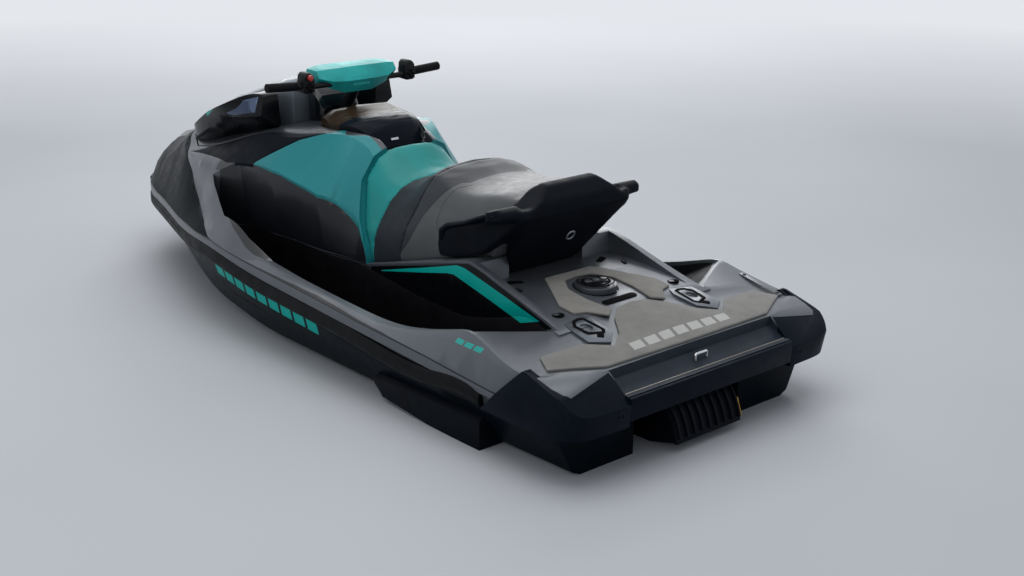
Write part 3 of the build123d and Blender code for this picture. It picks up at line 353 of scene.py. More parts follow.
# Painted marks, each an outline in the object's own metres
marks = {
    "bars": 9, "barFront": (0.402, 0.243, 0.196), "barBack": (-0.335, 0.190, 0.136),
    "barLean": 0.026, "barGap": 0.2,
    "sideBars": ((-1.108, 0.348, 0.332), (-1.240, 0.346, 0.329)), "sideBarCount": 3, "sideBarLean": 0.012,
    "sideBarGap": 0.2,
    "stripe": [[(-0.3127, 0.3181), (-0.7845, 0.4505), (-0.7262, 0.4087), (-0.3184, 0.3162)],
               [(-0.7845, 0.4505), (-0.8259, 0.4500), (-0.7652, 0.4135), (-0.7262, 0.4087)],
               [(-0.8259, 0.4500), (-1.2077, 0.3640), (-1.1157, 0.3351), (-0.7652, 0.4135)]],
    "matBars": 7, "matBarX": (-1.479, -1.520), "matBarY": (0.224, -0.236),
    "matBarLean": 0.014, "matBarGap": 0.22, "matBarTone": (0.52, 0.52, 0.5),
    "stripeHalf": 0.36,    # the stripe stays inboard of this
    "bandLine": [(-1.650, 0.222), (-1.302, 0.231), (-0.998, 0.259), (-0.640, 0.279), (-0.366, 0.301),
                 (0.0, 0.325), (0.342, 0.349), (0.720, 0.342), (1.100, 0.337), (1.650, 0.330)],
    "bandWidth": 0.0055,
    # footwellSide: where the fenders are painted black inside the footwells, partly for their black lining
    # and partly as painted shade.
    "footwellSide": [[(0.38, 0.38), (0.572, 0.38), (0.572, 0.4365), (0.38, 0.4365)],
                     [(0.0, 0.38), (0.39, 0.38), (0.38, 0.50), (0.30, 0.546), (0.239, 0.566), (0.12, 0.588),
                      (0.06, 0.590), (0.0, 0.578)]],
    "lidPanel": [[(0.086, -0.2), (0.30, -0.2), (0.30, 0.2), (0.098, 0.2), (0.062, 0.145), (0.086, 0.03)]],
    "mirrorLine": [(0.747, 0.743), (0.623, 0.805)], "mirrorWidth": 0.012,
    "bolsterLine": [(-0.350, 0.340), (-0.376, 0.3815), (-0.4328, 0.4491), (-0.4941, 0.5444),
                    (-0.5561, 0.6146), (-0.6031, 0.6646), (-0.6128, 0.6772), (-0.6311, 0.6778)],
    "bolsterFront": -0.2, "bolsterTop": 0.76, "bolsterSeam": 0.004,
    "seatPanelLine": [(-0.6185, 0.482), (-0.5829, 0.5406), (-0.5945, 0.6047), (-0.6250, 0.6621),
                      (-0.6497, 0.6716)],
    "seatPanelSeam": 0.0025,
}
teal = (0.0, 0.44, 0.38)
blackPaint = (0.004, 0.005, 0.007)


def slantedBars(count, front, back, lean, gap):
    # Even slanted bars between a front and a back end, each end given as its place, top and foot.
    outlines = []
    for i in range(count):
        ends = []
        for share in (i / count, (i + 1 - gap) / count):
            at, top, foot = [f + (b - f) * share for f, b in zip(front, back)]
            ends.append((at, top, foot))
        (x0, top0, foot0), (x1, top1, foot1) = ends
        outlines.append(anticlockwise([(x0 - lean, top0), (x0, foot0), (x1, foot1), (x1 - lean, top1)]))
    return outlines


def mark(material, outlines, colour, axes=(0, 2), roughness=None, metallic=None, bothSides=False):
    tree = material.node_tree
    outlines = [anticlockwise(outline) for outline in outlines]
    mask = insideOf(tree, objectPlace(tree), outlines, axes, bothSides=bothSides)
    paintOver(material, mask, colour, roughness, metallic)


def paintMarks():
    hullBars = slantedBars(marks["bars"], marks["barFront"], marks["barBack"], marks["barLean"],
                           marks["barGap"])
    mark(materials["hull_gloss"], hullBars, teal, roughness=0.3)
    for slot in ("panel_gloss", "liner_rubber"):
        tree = materials[slot].node_tree
        place = objectPlace(tree)
        sideways = maths(tree, "ABSOLUTE", split(tree, place)[1])
        inboard = maths(tree, "LESS_THAN", sideways, marks["stripeHalf"])
        stripe = insideOf(tree, place, [anticlockwise(outline) for outline in marks["stripe"]])
        paintOver(materials[slot], maths(tree, "MULTIPLY", stripe, inboard), teal, 0.3)
    mark(materials["deck_paint"], ribbon(marks["bandLine"], marks["bandWidth"]), blackPaint)
    mark(materials["fender_paint"], ribbon(marks["bandLine"], marks["bandWidth"]), blackPaint)
    front, back = marks["sideBars"]
    sideBars = slantedBars(marks["sideBarCount"], front, back, marks["sideBarLean"], marks["sideBarGap"])
    mark(materials["deck_paint"], sideBars, teal, roughness=0.3, metallic=0.0)
    # Black inside the footwell openings: the black lining, and also painted shade for the shade inside the
    # footwells.
    mark(materials["fender_paint"], marks["footwellSide"], blackPaint, (0, 1), 0.5, 0.0, bothSides=True)
    mark(materials["mirror_shell"], ribbon(marks["mirrorLine"], marks["mirrorWidth"]), teal)
    line, front, top = marks["bolsterLine"], marks["bolsterFront"], marks["bolsterTop"]
    bolster = [[low, (front, low[1]), (front, high[1]), high] for low, high in zip(line, line[1:])]
    bolster.append([line[-1], (front, line[-1][1]), (front, top), (line[-1][0], top)])
    mark(materials["grey_vinyl"], bolster, bolsterTone, roughness=0.5)
    seams = ribbon(line, marks["bolsterSeam"]) + ribbon(marks["seatPanelLine"], marks["seatPanelSeam"])
    mark(materials["grey_vinyl"], seams, blackPaint)
    xTop, xFoot = marks["matBarX"]
    yFront, yBack = marks["matBarY"]
    matBars = slantedBars(marks["matBars"], (yFront, xTop, xFoot), (yBack, xTop, xFoot), marks["matBarLean"],
                          marks["matBarGap"])
    mark(materials["mat_foam"], [[(x, y) for y, x in outline] for outline in matBars], marks["matBarTone"],
         (0, 1))


paintMarks()


# How each node is dressed: the radius its edges are rounded to.
dressing = {
    "corner_bumpers": {"edge": 0.010, "segments": 4},
    "stern_bumper": {"edge": 0.008}, "handlebar_pad": {"edge": 0.006}, "deck": {"edge": 0.006},
    "console": {"edge": 0.006}, "fenders": {"edge": 0.006}, "hood_lid": {"edge": 0.006},
    "deck_cap": {"edge": 0.003}, "rear_mat": {"edge": 0.0025}, "front_mat": {"edge": 0.0025},
    "socket_plates": {"edge": 0.003},
    "mirror_housings": {"edge": 0.006}, "sponsons": {"edge": 0.008}, "reverse_gate": {"edge": 0.003},
    "knee_panels": {"edge": 0.003}, "side_panels": {"edge": 0.002}, "footwell_liners": {"edge": 0.003},
}
softNodes = {"grab_handle": {"voxel": 0.006, "rounds": 14}, "tow_hook": {"voxel": 0.0016, "rounds": 8}}
hullSeam = 0.123    # height where the hull's two mouldings meet
seamDepth = 0.0006
faceZones = {
    "stepRear": -1.556, "stepHalf": 0.377,    # the stern step: its front edge and half its width
    "clampHalf": 0.042,    # half the width of the bar clamp, which the pad covers
    "kneeFrom": -0.22, "kneeTo": -0.08, "kneeLow": 0.30, "kneeFacing": -0.6,    # rear ends of the knee panels
}
consoleSplit = 0.69    # the console is paint above this height and black below


def ownFinish():
    # Finishes for nodes whose slot is shared with a piece of another tone.
    console = metallicPaint("consolePaint", (0.05, 0.056, 0.066), 0.34, 0.5)
    tree = console.node_tree
    height = split(tree, objectPlace(tree))[2]
    low = maths(tree, "LESS_THAN", height, consoleSplit)
    paintOver(console, low, (0.0055, 0.007, 0.010), 0.45, 0.0)
    lid = glossMoulding("lidGloss", (0.006, 0.009, 0.014), 0.2, 0.0, 0.05)
    mark(lid, marks["lidPanel"], (0.035, 0.024, 0.014), (0, 1), 0.22)
    return {"console": console, "glovebox_lid": lid,
            "socket_plates": metallicPaint("platePaint", (0.12, 0.137, 0.16), 0.36, 0.6),
            "front_mat": foamMat("frontMat", (0.23, 0.22, 0.20))}


ownFinishes = ownFinish()


def takePlace(piece, name):
    # Gives the piece its finish and sets it in its node's place.
    piece.data.materials.clear()
    piece.data.materials.append(ownFinishes.get(name, materials[slotOf[name]]))
    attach(piece, bodyOf[name])
    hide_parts(name)


def dressNode(name, flat=1.2, edge=0.004, segments=3, sharp=32.0):
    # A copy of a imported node, merged, its flat faces joined and its edges rounded.
    piece = nodeCopy(name, "dressed_" + name)
    bpy.ops.object.mode_set(mode="EDIT")
    bpy.ops.mesh.select_all(action="SELECT")
    bpy.ops.mesh.dissolve_limited(angle_limit=math.radians(flat), delimit={"NORMAL"})
    bpy.ops.object.mode_set(mode="OBJECT")
    weightEdges(piece, math.radians(sharp))
    rounding = piece.modifiers.new("rounding", "BEVEL")
    rounding.width = edge
    rounding.segments = segments
    rounding.limit_method = "WEIGHT"
    rounding.use_clamp_overlap = True
    bpy.ops.object.modifier_apply(modifier=rounding.name)
    bpy.ops.object.shade_smooth_by_angle(angle=math.radians(28))
    takePlace(piece, name)
    return piece


def paintFaces(piece, material, chosen):
    # Gives the faces whose middle and normal pass a test a finish of their own.
    piece.data.materials.append(material)
    index = len(piece.data.materials) - 1
    for polygon in piece.data.polygons:
        if chosen(polygon.center, polygon.normal):
            polygon.material_index = index


def softNode(name, voxel, rounds):
    # A moulding with large soft corners: its packed form, remeshed evenly and smoothed.
    piece = nodeCopy(name, "dressed_" + name)
    remesh = piece.modifiers.new("evenSkin", "REMESH")
    remesh.mode = "VOXEL"
    remesh.voxel_size = voxel
    soften = piece.modifiers.new("soften", "SMOOTH")
    soften.factor = 0.5
    soften.iterations = rounds
    applyAll(piece)
    bpy.ops.object.shade_smooth()
    takePlace(piece, name)
    return piece


def weightEdges(piece, sharp):
    # Marks the edges to round: all that turn enough, apart from the hidden seam of the hull.
    mesh = piece.data
    turns = {}
    for polygon in mesh.polygons:
        for key in polygon.edge_keys:
            turns.setdefault(key, []).append(polygon.normal)
    weights = mesh.attributes.new("bevel_weight_edge", "FLOAT", "EDGE")
    for item in mesh.edges:
        normals = turns.get(item.key, [])
        onSeam = all(abs(mesh.vertices[i].co.z - hullSeam) < seamDepth for i in item.vertices)
        if len(normals) == 2 and normals[0].angle(normals[1], 0.0) > sharp and not onSeam:
            weights.data[item.index].value = 1.0


def nodeCopy(name, label):
    # The node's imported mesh, merged, as a piece that can be worked on.
    mesh = frame["nodes"][name].data.copy()
    piece = bpy.data.objects.new(label, mesh)
    bpy.context.scene.collection.objects.link(piece)
    pick(piece)
    bpy.ops.object.mode_set(mode="EDIT")
    bpy.ops.mesh.select_all(action="SELECT")
    bpy.ops.mesh.remove_doubles(threshold=0.0002)
    bpy.ops.object.mode_set(mode="OBJECT")
    return piece


def applyAll(piece):
    pick(piece)
    for modifier in list(piece.modifiers):
        bpy.ops.object.modifier_apply(modifier=modifier.name)


# Seat cushions: pressed foam under vinyl, blown up a little inside its own outline.
cushions = {
    "seat_front": {"voxel": 0.0065, "swell": 0.0035, "cap": 0.006, "seam": 0.013, "soften": 3},
    "seat_bolster": {"voxel": 0.0070, "swell": 0.0045, "cap": 0.005, "seam": 0.013, "soften": 3},
    "seat_rear": {"voxel": 0.0085, "swell": 0.0045, "cap": 0.003, "seam": 0.015, "soften": 3},
}
blow = {"pressure": 4.0, "tension": 25.0, "bending": 8.0, "quality": 6, "frames": 20, "smoothing": 24}
seamNeighbours = ("seat_front", "seat_bolster", "seat_rear", "console", "deck", "knee_panels", "grab_handle")


def surfaceOf(name):
    mesh = frame["nodes"][name].data
    return BVHTree.FromPolygons([vertex.co for vertex in mesh.vertices],
                                [tuple(polygon.vertices) for polygon in mesh.polygons])


def makeCushion(name, values):
    piece = nodeCopy(name, "cushion_" + name)
    remesh = piece.modifiers.new("evenSkin", "REMESH")
    remesh.mode = "VOXEL"
    remesh.voxel_size = values["voxel"]
    swell = piece.modifiers.new("swell", "DISPLACE")
    swell.strength = values["swell"]
    swell.mid_level = 0.0
    soften = piece.modifiers.new("soften", "SMOOTH")
    soften.factor = 0.5
    soften.iterations = values["soften"]
    applyAll(piece)
    blowUp(piece, name, values)
    finer = piece.modifiers.new("finer", "SUBSURF")
    finer.levels = 1
    finer.render_levels = 1
    applyAll(piece)
    bpy.ops.object.shade_smooth()
    takePlace(piece, name)
    return piece


def blowUp(piece, name, values):
    # The skin is held where it meets a neighbour and swells everywhere else.
    rest = [vertex.co.copy() for vertex in piece.data.vertices]
    held = piece.vertex_groups.new(name="held")
    neighbours = [surfaceOf(other) for other in seamNeighbours if other != name]
    for vertex in piece.data.vertices:
        if any(other.find_nearest(vertex.co, values["seam"])[0] for other in neighbours):
            held.add([vertex.index], 1.0, "REPLACE")
    cloth = piece.modifiers.new("cloth", "CLOTH")
    cloth.settings.use_pressure = True
    cloth.settings.uniform_pressure_force = blow["pressure"]
    cloth.settings.effector_weights.gravity = 0.0
    cloth.settings.vertex_group_mass = "held"
    cloth.settings.tension_stiffness = blow["tension"]
    cloth.settings.bending_stiffness = blow["bending"]
    cloth.settings.quality = blow["quality"]
    cloth.point_cache.frame_start = 1
    cloth.point_cache.frame_end = blow["frames"]
    scene = bpy.context.scene
    for step in range(1, blow["frames"] + 1):
        scene.frame_set(step)
    applyAll(piece)
    scene.frame_set(1)
    for vertex, place in zip(piece.data.vertices, rest):
        move = vertex.co - place
        if move.length > values["cap"]:
            vertex.co = place + move * (values["cap"] / move.length)
    settled = piece.modifiers.new("settled", "SMOOTH")
    settled.factor = 0.5
    settled.iterations = blow["smoothing"]
    settled.vertex_group = "held"
    settled.invert_vertex_group = True
    applyAll(piece)
    piece.vertex_groups.clear()


dressed = {}
for name in frame["nodes"]:
    if name in cushions:
        dressed[name] = makeCushion(name, cushions[name])
    elif name in softNodes:
        dressed[name] = softNode(name, **softNodes[name])
    else:
        dressed[name] = dressNode(name, **dressing.get(name, {}))


def onStep(middle, normal):
    return middle.x < faceZones["stepRear"] and abs(middle.y) < faceZones["stepHalf"]


def onClamp(middle, normal):
    return abs(middle.y) < faceZones["clampHalf"]


def behindKnee(middle, normal):
    behind = faceZones["kneeFrom"] < middle.x < faceZones["kneeTo"]
    return behind and middle.z > faceZones["kneeLow"] and normal.x < faceZones["kneeFacing"]


stepPlastic = grainedPlastic("stepPlastic", (0.018, 0.026, 0.038), 0.36, 700.0, 0.08, 0.15)
paintFaces(dressed["deck"], stepPlastic, onStep)
paintFaces(dressed["handlebar"], materials["teal_pad"], onClamp)
paintFaces(dressed["console"], materials["teal_panel"], behindKnee)
print("dressed", len(dressed))


# Small pieces
def settle(piece, name, material, body, smooth=28):
    bpy.ops.object.mode_set(mode="OBJECT")
    bpy.ops.object.transform_apply(location=True, rotation=True, scale=True)
    piece.name = name
    bpy.ops.object.shade_smooth_by_angle(angle=math.radians(smooth))
    piece.data.materials.clear()
    piece.data.materials.append(material)
    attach(piece, body)
    return piece


def roundEdges(piece, edge, segments=3, sharp=30):
    rounding = piece.modifiers.new("rounding", "BEVEL")
    rounding.width = edge
    rounding.segments = segments
    rounding.limit_method = "ANGLE"
    rounding.angle_limit = math.radians(sharp)
    bpy.ops.object.modifier_apply(modifier=rounding.name)


def slab(name, corners, push, material, body, edge=0.001):
    # A flat outline of any number of corners, pushed out to a thickness and rounded.
    deselectAll()
    bpy.ops.mesh.primitive_circle_add(vertices=len(corners), radius=0.01, fill_type="NGON")
    piece = bpy.context.object
    for vertex, corner in zip(piece.data.vertices, corners):
        vertex.co = corner
    bpy.ops.object.mode_set(mode="EDIT")
    bpy.ops.mesh.select_all(action="SELECT")
    bpy.ops.mesh.extrude_region_move(TRANSFORM_OT_translate={"value": push})
    bpy.ops.mesh.select_all(action="SELECT")
    bpy.ops.mesh.normals_make_consistent(inside=False)
    bpy.ops.object.mode_set(mode="OBJECT")
    if edge:
        roundEdges(piece, edge)
    return settle(piece, name, material, body)


def disc(name, place, facing, radius, depth, material, body, edge=0.001, dish=0.0):
    # A round boss, its outer face inset and, if wanted, dished.
    deselectAll()
    bpy.ops.mesh.primitive_cylinder_add(vertices=40, radius=radius, depth=depth)
    piece = bpy.context.object
    if dish:
        bpy.ops.object.mode_set(mode="EDIT")
        bpy.ops.mesh.select_all(action="DESELECT")
        bpy.ops.object.mode_set(mode="OBJECT")
        for polygon in piece.data.polygons:
            polygon.select = polygon.normal.z > 0.9
        bpy.ops.object.mode_set(mode="EDIT")
        bpy.ops.mesh.inset(thickness=radius * 0.22)
        bpy.ops.mesh.extrude_region_move(TRANSFORM_OT_translate={"value": (0, 0, -dish)})
        bpy.ops.object.mode_set(mode="OBJECT")
    roundEdges(piece, edge)
    piece.rotation_euler = Vector(facing).to_track_quat("Z", "Y").to_euler()
    piece.location = place
    return settle(piece, name, material, body)


def ring(name, place, facing, radius, thick, material, body, flatten=1.0):
    deselectAll()
    bpy.ops.mesh.primitive_torus_add(major_radius=radius, minor_radius=thick, major_segments=64,
                                     minor_segments=12)
    piece = bpy.context.object
    bpy.ops.object.mode_set(mode="EDIT")
    bpy.ops.mesh.select_all(action="SELECT")
    bpy.ops.transform.resize(value=(1, 1, flatten))
    bpy.ops.object.mode_set(mode="OBJECT")
    piece.rotation_euler = Vector(facing).to_track_quat("Z", "Y").to_euler()
    piece.location = place
    return settle(piece, name, material, body, 60)


def roundedOutline(length, width, steps=8):
    # Corner points of a slot with round ends, about the middle.
    reach = length / 2 - width / 2
    points = []
    for end in (1, -1):
        for i in range(steps + 1):
            a = math.pi * i / steps - math.pi / 2
            points.append((end * (reach + width / 2 * math.cos(a)), end * width / 2 * math.sin(a)))
    return points


def onDeck(points, centre, turn, height, slope=(0, 0)):
    # Flat points turned and laid on the deck at a height that may slope.
    laid = []
    for u, v in points:
        x = u * math.cos(turn) - v * math.sin(turn)
        y = u * math.sin(turn) + v * math.cos(turn)
        laid.append((centre[0] + x, centre[1] + y, height + slope[0] * x + slope[1] * y))
    return laid


extra = {
    # This flat black serves the small black parts. It is also painted shade: black slabs and rims stand for
    # the shade inside holes, slots, grooves and recesses.
    "blackPartsAndHoleShade": grainedPlastic("blackPartsAndHoleShade", (0.002, 0.002, 0.0025), 0.8, specular=0.05),
    "blackSatin": grainedPlastic("blackSatin", (0.004, 0.0045, 0.0055), 0.45, specular=0.15),
    "brightTrim": castMetal("brightTrim", (0.55, 0.57, 0.6), 0.25),
    "redButton": glossMoulding("redButton", (0.55, 0.02, 0.012), 0.3),
    "yellowTab": grainedPlastic("yellowTab", (0.75, 0.42, 0.01), 0.5),
    "badgeGrey": castMetal("badgeGrey", (0.30, 0.33, 0.38), 0.3, 0.8),
    "paleTrim": glossMoulding("paleTrim", (0.38, 0.34, 0.28), 0.3),
}


def rimPlate(name, corners, width, push, material, body, edge=0.0006):
    # A closed outline as a raised rim of even width, open in the middle.
    deselectAll()
    bpy.ops.mesh.primitive_circle_add(vertices=len(corners), radius=0.01, fill_type="NGON")
    piece = bpy.context.object
    for vertex, corner in zip(piece.data.vertices, corners):
        vertex.co = corner
    bpy.ops.object.mode_set(mode="EDIT")
    bpy.ops.mesh.select_all(action="SELECT")
    bpy.ops.mesh.inset(thickness=width)
    bpy.ops.mesh.delete(type="FACE")
    bpy.ops.mesh.select_all(action="SELECT")
    bpy.ops.mesh.extrude_region_move(TRANSFORM_OT_translate={"value": push})
    bpy.ops.mesh.select_all(action="SELECT")
    bpy.ops.mesh.normals_make_consistent(inside=False)
    bpy.ops.object.mode_set(mode="OBJECT")
    roundEdges(piece, edge)
    return settle(piece, name, material, body)


cap = {
    "x": -1.121, "turn": 1.35, "sink": 0.001,
    "rim": 0.062, "rimThick": 0.0022, "rimFlat": 0.5, "inner": 0.047, "innerThick": 0.004, "innerFlat": 0.3,
    "recess": (0.082, 0.017), "recessRise": 0.0016, "recessEdge": 0.0007, "padShift": 0.024,
    "grip": (0.086, 0.024), "gripRise": 0.007, "gripEdge": 0.003,
    "rib": (0.03, 0.006, 4), "ribShift": 0.016, "ribLift": 0.0055, "ribRise": 0.002, "ribEdge": 0.0006,
}


def capPoint(shift, angle):
    return (cap["x"] + shift * math.cos(angle), shift * math.sin(angle))


def makeCapDetails():
    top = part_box("deck_cap")[1][2]
    body = bodyOf["deck_cap"]
    turn = cap["turn"]
    across = turn + math.pi / 2
    dark = extra["blackPartsAndHoleShade"]
    centre = (cap["x"], 0, top)
    # The two rings and the two recess slabs are flat black that stands for the shade in the cap's grooves and
    # recesses: painted shade.
    ring("capRimRing", centre, (0, 0, 1), cap["rim"], cap["rimThick"], dark, body, cap["rimFlat"])
    ring("capInnerRing", centre, (0, 0, 1), cap["inner"], cap["innerThick"], dark, body, cap["innerFlat"])
    for side in (1, -1):
        recess = onDeck(roundedOutline(*cap["recess"]), capPoint(side * cap["padShift"], across), turn,
                        top - cap["sink"])
        slab("capRecess%d" % side, recess, (0, 0, cap["recessRise"]), dark, body, cap["recessEdge"])
    grip = onDeck(roundedOutline(*cap["grip"]), (cap["x"], 0), turn, top - cap["sink"])
    slab("capGrip", grip, (0, 0, cap["gripRise"]), materials["cap_plastic"], body, cap["gripEdge"])
    for shift in (-cap["ribShift"], cap["ribShift"]):
        rib = onDeck(roundedOutline(*cap["rib"]), capPoint(shift, turn), across, top + cap["ribLift"])
        slab("capGripRib%d" % round(shift * 1000), rib, (0, 0, cap["ribRise"]), dark, body, cap["ribEdge"])


deckSlope = 0.12
deckTrim = {
    "slot": {"size": (0.156, 0.030), "x": -1.233, "y": 0, "z": 0.3735, "rise": 0.0025, "edge": 0.001},
    "drain": {"size": (0.060, 0.024), "x": -0.945, "y": 0.2, "z": 0.4015, "rise": 0.0025, "edge": 0.001},
    "cleat": {"size": (0.03, 0.014), "x": -1.012, "y": 0.246, "z": 0.396, "rise": 0.009, "edge": 0.003},
    "slotTurn": 0.02, "drainTurn": 0.5, "cleatTurn": 0.4,
}
bolt = {
    "x": -1.224, "y": 0.268, "z": 0.374, "radius": 0.014, "depth": 0.004, "edge": 0.001, "dish": 0.0015,
    "ringZ": 0.3745, "ring": 0.017, "ringThick": 0.004,
}
bumperBolt = {
    "x": -1.6535, "y": 0.416, "z": 0.206, "radius": 0.012, "depth": 0.008, "edge": 0.002, "dish": 0.003,
}
plate = {
    "kite": [(-1.2800, 0.2600, 0.3664), (-1.2740, 0.2339, 0.3681), (-1.2820, 0.2110, 0.3675),
             (-1.3714, 0.2050, 0.3526), (-1.3910, 0.2220, 0.3487), (-1.3680, 0.2755, 0.3505),
             (-1.3060, 0.2810, 0.3612)],
    "hook": [(-1.3790, 0.2475, 0.3495), (-1.3900, 0.2270, 0.3487), (-1.4106, 0.2470, 0.3446),
             (-1.3953, 0.2621, 0.3461)],
    "lift": 0.0003, "groove": 0.011, "grooveRise": 0.0012, "hookRise": 0.002, "hookEdge": 0.0008,
}
bowBadge = {
    "x": 0.7277, "y": 0.465, "z": 0.4278, "facing": (0.16, 0.91, 0.38), "radius": 0.018, "depth": 0.003,
    "edge": 0.001, "dish": 0.001, "rim": 0.021, "rimThick": 0.0022, "rimFlat": 0.6,
}
strap = {
    "line": [(-1.270, -0.581, 0.3505), (-1.462, -0.562, 0.3215), (-1.462, -0.540, 0.3215),
             (-1.270, -0.559, 0.3505)],
    "rise": 0.004, "edge": 0.0015,
    "screws": [(-1.286, -0.569, 0.3525), (-1.446, -0.552, 0.3285)],
    "screwRadius": 0.006, "screwDepth": 0.004, "screwEdge": 0.001,
}


def deckPad(name, pad, side, turn, material):
    outline = onDeck(roundedOutline(*pad["size"]), (pad["x"], side * pad["y"]), turn, pad["z"],
                     (deckSlope, 0))
    slab(name, outline, (0, 0, pad["rise"]), material, "craft", pad["edge"])


def makeBolts(label, side, dark, satin):
    up = (deckSlope, 0, 1)
    ring("boltRing" + label, (bolt["x"], side * bolt["y"], bolt["ringZ"]), up, bolt["ring"],
         bolt["ringThick"], dark, "craft")
    disc("bolt" + label, (bolt["x"], side * bolt["y"], bolt["z"]), up, bolt["radius"], bolt["depth"], dark,
         "craft", bolt["edge"], bolt["dish"])
    disc("bumperBolt" + label, (bumperBolt["x"], side * bumperBolt["y"], bumperBolt["z"]), (-1, 0, 0),
         bumperBolt["radius"], bumperBolt["depth"], satin, "craft", bumperBolt["edge"], bumperBolt["dish"])


def makeBowBadge(label, side):
    place = Vector((bowBadge["x"], side * bowBadge["y"], bowBadge["z"]))
    facing = (bowBadge["facing"][0], side * bowBadge["facing"][1], bowBadge["facing"][2])
    ring("bowBadgeRim" + label, place, facing, bowBadge["rim"], bowBadge["rimThick"], extra["badgeGrey"],
         "craft", bowBadge["rimFlat"])
    disc("bowBadge" + label, place, facing, bowBadge["radius"], bowBadge["depth"], extra["badgeGrey"],
         "craft", bowBadge["edge"], bowBadge["dish"])


def makeDeckDetails():
    dark, satin = extra["blackPartsAndHoleShade"], extra["blackSatin"]
    # The slot and the drains are flat black pads that stand for the shade inside their openings: painted
    # shade.
    deckPad("deckSlot", deckTrim["slot"], 1, math.pi / 2 + deckTrim["slotTurn"], dark)
    for side in (1, -1):
        label = "Port" if side > 0 else "Starboard"
        deckPad("drain" + label, deckTrim["drain"], side, math.pi / 2 - side * deckTrim["drainTurn"], dark)
        deckPad("cleat" + label, deckTrim["cleat"], side, deckTrim["cleatTurn"] * side, satin)
        makeBolts(label, side, dark, satin)
        kite = [(x, side * y, z + plate["lift"]) for x, y, z in plate["kite"]]
        # The plate's groove is a flat black rim that stands for the shade in the groove: painted shade.
        rimPlate("plateGroove" + label, kite, plate["groove"], (0, 0, plate["grooveRise"]), dark, "craft")
        hook = [(x, side * y, z) for x, y, z in plate["hook"]]
        slab("plateHook" + label, hook, (0, 0, plate["hookRise"]), dark, "craft", plate["hookEdge"])
        makeBowBadge(label, side)
    slab("strapPlate", strap["line"], (0, 0, strap["rise"]), materials["deck_paint"], "craft", strap["edge"])
    for place in strap["screws"]:
        disc("strapScrew%d" % round(-place[0] * 1000), place, (0, 0, 1), strap["screwRadius"],
             strap["screwDepth"], satin, "craft", strap["screwEdge"])


sideRail = {
    "line": [(-0.650, 0.266, 0.505), (-0.657, 0.269, 0.540), (-0.690, 0.270, 0.562), (-0.780, 0.272, 0.588),
             (-0.870, 0.290, 0.624), (-0.940, 0.311, 0.652), (-0.985, 0.3115, 0.659)],
    "radius": 0.0185, "sides": 20, "edge": 0.006, "edgeSteps": 3, "sharpAngle": 50,
}


def barAlong(name, points, bar, material, body):
    # A round bar drawn along a line of points by extruding its end.
    deselectAll()
    first = Vector(points[1]) - Vector(points[0])
    bpy.ops.mesh.primitive_circle_add(vertices=bar["sides"], radius=bar["radius"], fill_type="NGON",
                                      location=points[0], rotation=first.to_track_quat("Z", "Y").to_euler())
    piece = bpy.context.object
    bpy.ops.object.transform_apply(location=True, rotation=True, scale=True)
    bpy.ops.object.mode_set(mode="EDIT")
    bpy.ops.mesh.select_all(action="SELECT")
    for here, there in zip(points, points[1:]):
        bpy.ops.mesh.extrude_region_move(TRANSFORM_OT_translate={"value": Vector(there) - Vector(here)})
    bpy.ops.mesh.select_all(action="SELECT")
    bpy.ops.mesh.normals_make_consistent(inside=False)
    bpy.ops.object.mode_set(mode="OBJECT")
    roundEdges(piece, bar["edge"], bar["edgeSteps"], bar["sharpAngle"])
    return settle(piece, name, material, body, bar["sharpAngle"])


def makeHandleRails():
    for side in (1, -1):
        label = "Port" if side > 0 else "Starboard"
        line = [(x, side * y, z) for x, y, z in sideRail["line"]]
        barAlong("handleRail" + label, line, sideRail, materials["black_plastic"], bodyOf["grab_handle"])


sternTrim = {
    "line": [(-1.6235, 0.370, 0.2532), (-1.6270, 0.370, 0.2532), (-1.6270, -0.370, 0.2532),
             (-1.6235, -0.370, 0.2532)],
    "rise": 0.0022, "edge": 0.0006,
}
handleBadge = {
    "place": (-1.0035, 0.005, 0.542), "facing": (-0.88, 0, -0.45), "radius": 0.016, "thick": 0.004,
    "flat": 0.6,
}
# The tab stands on the end of the gate's curved plate and swings with it.
gateTab = {
    "line": [(-1.6266, -0.1495, 0.0438), (-1.6374, -0.1495, 0.0461), (-1.6172, -0.1495, 0.1015),
             (-1.6075, -0.1495, 0.0964)],
    "width": 0.010, "edge": 0.0008,
}


def makeSternDetails():
    slab("sternTrim", sternTrim["line"], (0, 0, sternTrim["rise"]), extra["paleTrim"], "craft",
         sternTrim["edge"])
    ring("handleBadge", handleBadge["place"], handleBadge["facing"], handleBadge["radius"],
         handleBadge["thick"], extra["badgeGrey"], "craft", handleBadge["flat"])
    slab("gateTab", gateTab["line"], (0, -gateTab["width"], 0), extra["yellowTab"], bodyOf["reverse_gate"],
         gateTab["edge"])


lidLatch = {
    "line": [(-0.0515, 0.037, 0.7265), (-0.0515, 0.003, 0.7265), (-0.0550, 0.003, 0.7185),
             (-0.0550, 0.037, 0.7185)],
    "push": (-0.003, 0, 0.0012), "edge": 0.001,
}


def makeLidDetails():
    slab("lidLatch", lidLatch["line"], lidLatch["push"], extra["brightTrim"], bodyOf["glovebox_lid"],
         lidLatch["edge"])


switchPod = {
    "y": 0.238, "push": (0.052, 0, 0.002), "edge": 0.009,
    "line": [(0.176, -0.02, 0.888), (0.176, 0.02, 0.888), (0.172, 0.026, 0.915), (0.176, 0.024, 0.952),
             (0.180, 0.012, 0.966), (0.180, -0.012, 0.966), (0.176, -0.024, 0.952), (0.172, -0.026, 0.915)],
}
rocker = {
    "shifts": [(0.0, 0.012), (0.0, -0.012), (0.011, 0.0), (-0.011, 0.0)],
    "x": 0.1715, "z": 0.914, "radius": 0.0045, "depth": 0.006, "edge": 0.001,
}
stopButton = {"place": (0.173, 0.236, 0.948), "radius": 0.011, "depth": 0.014, "edge": 0.003}


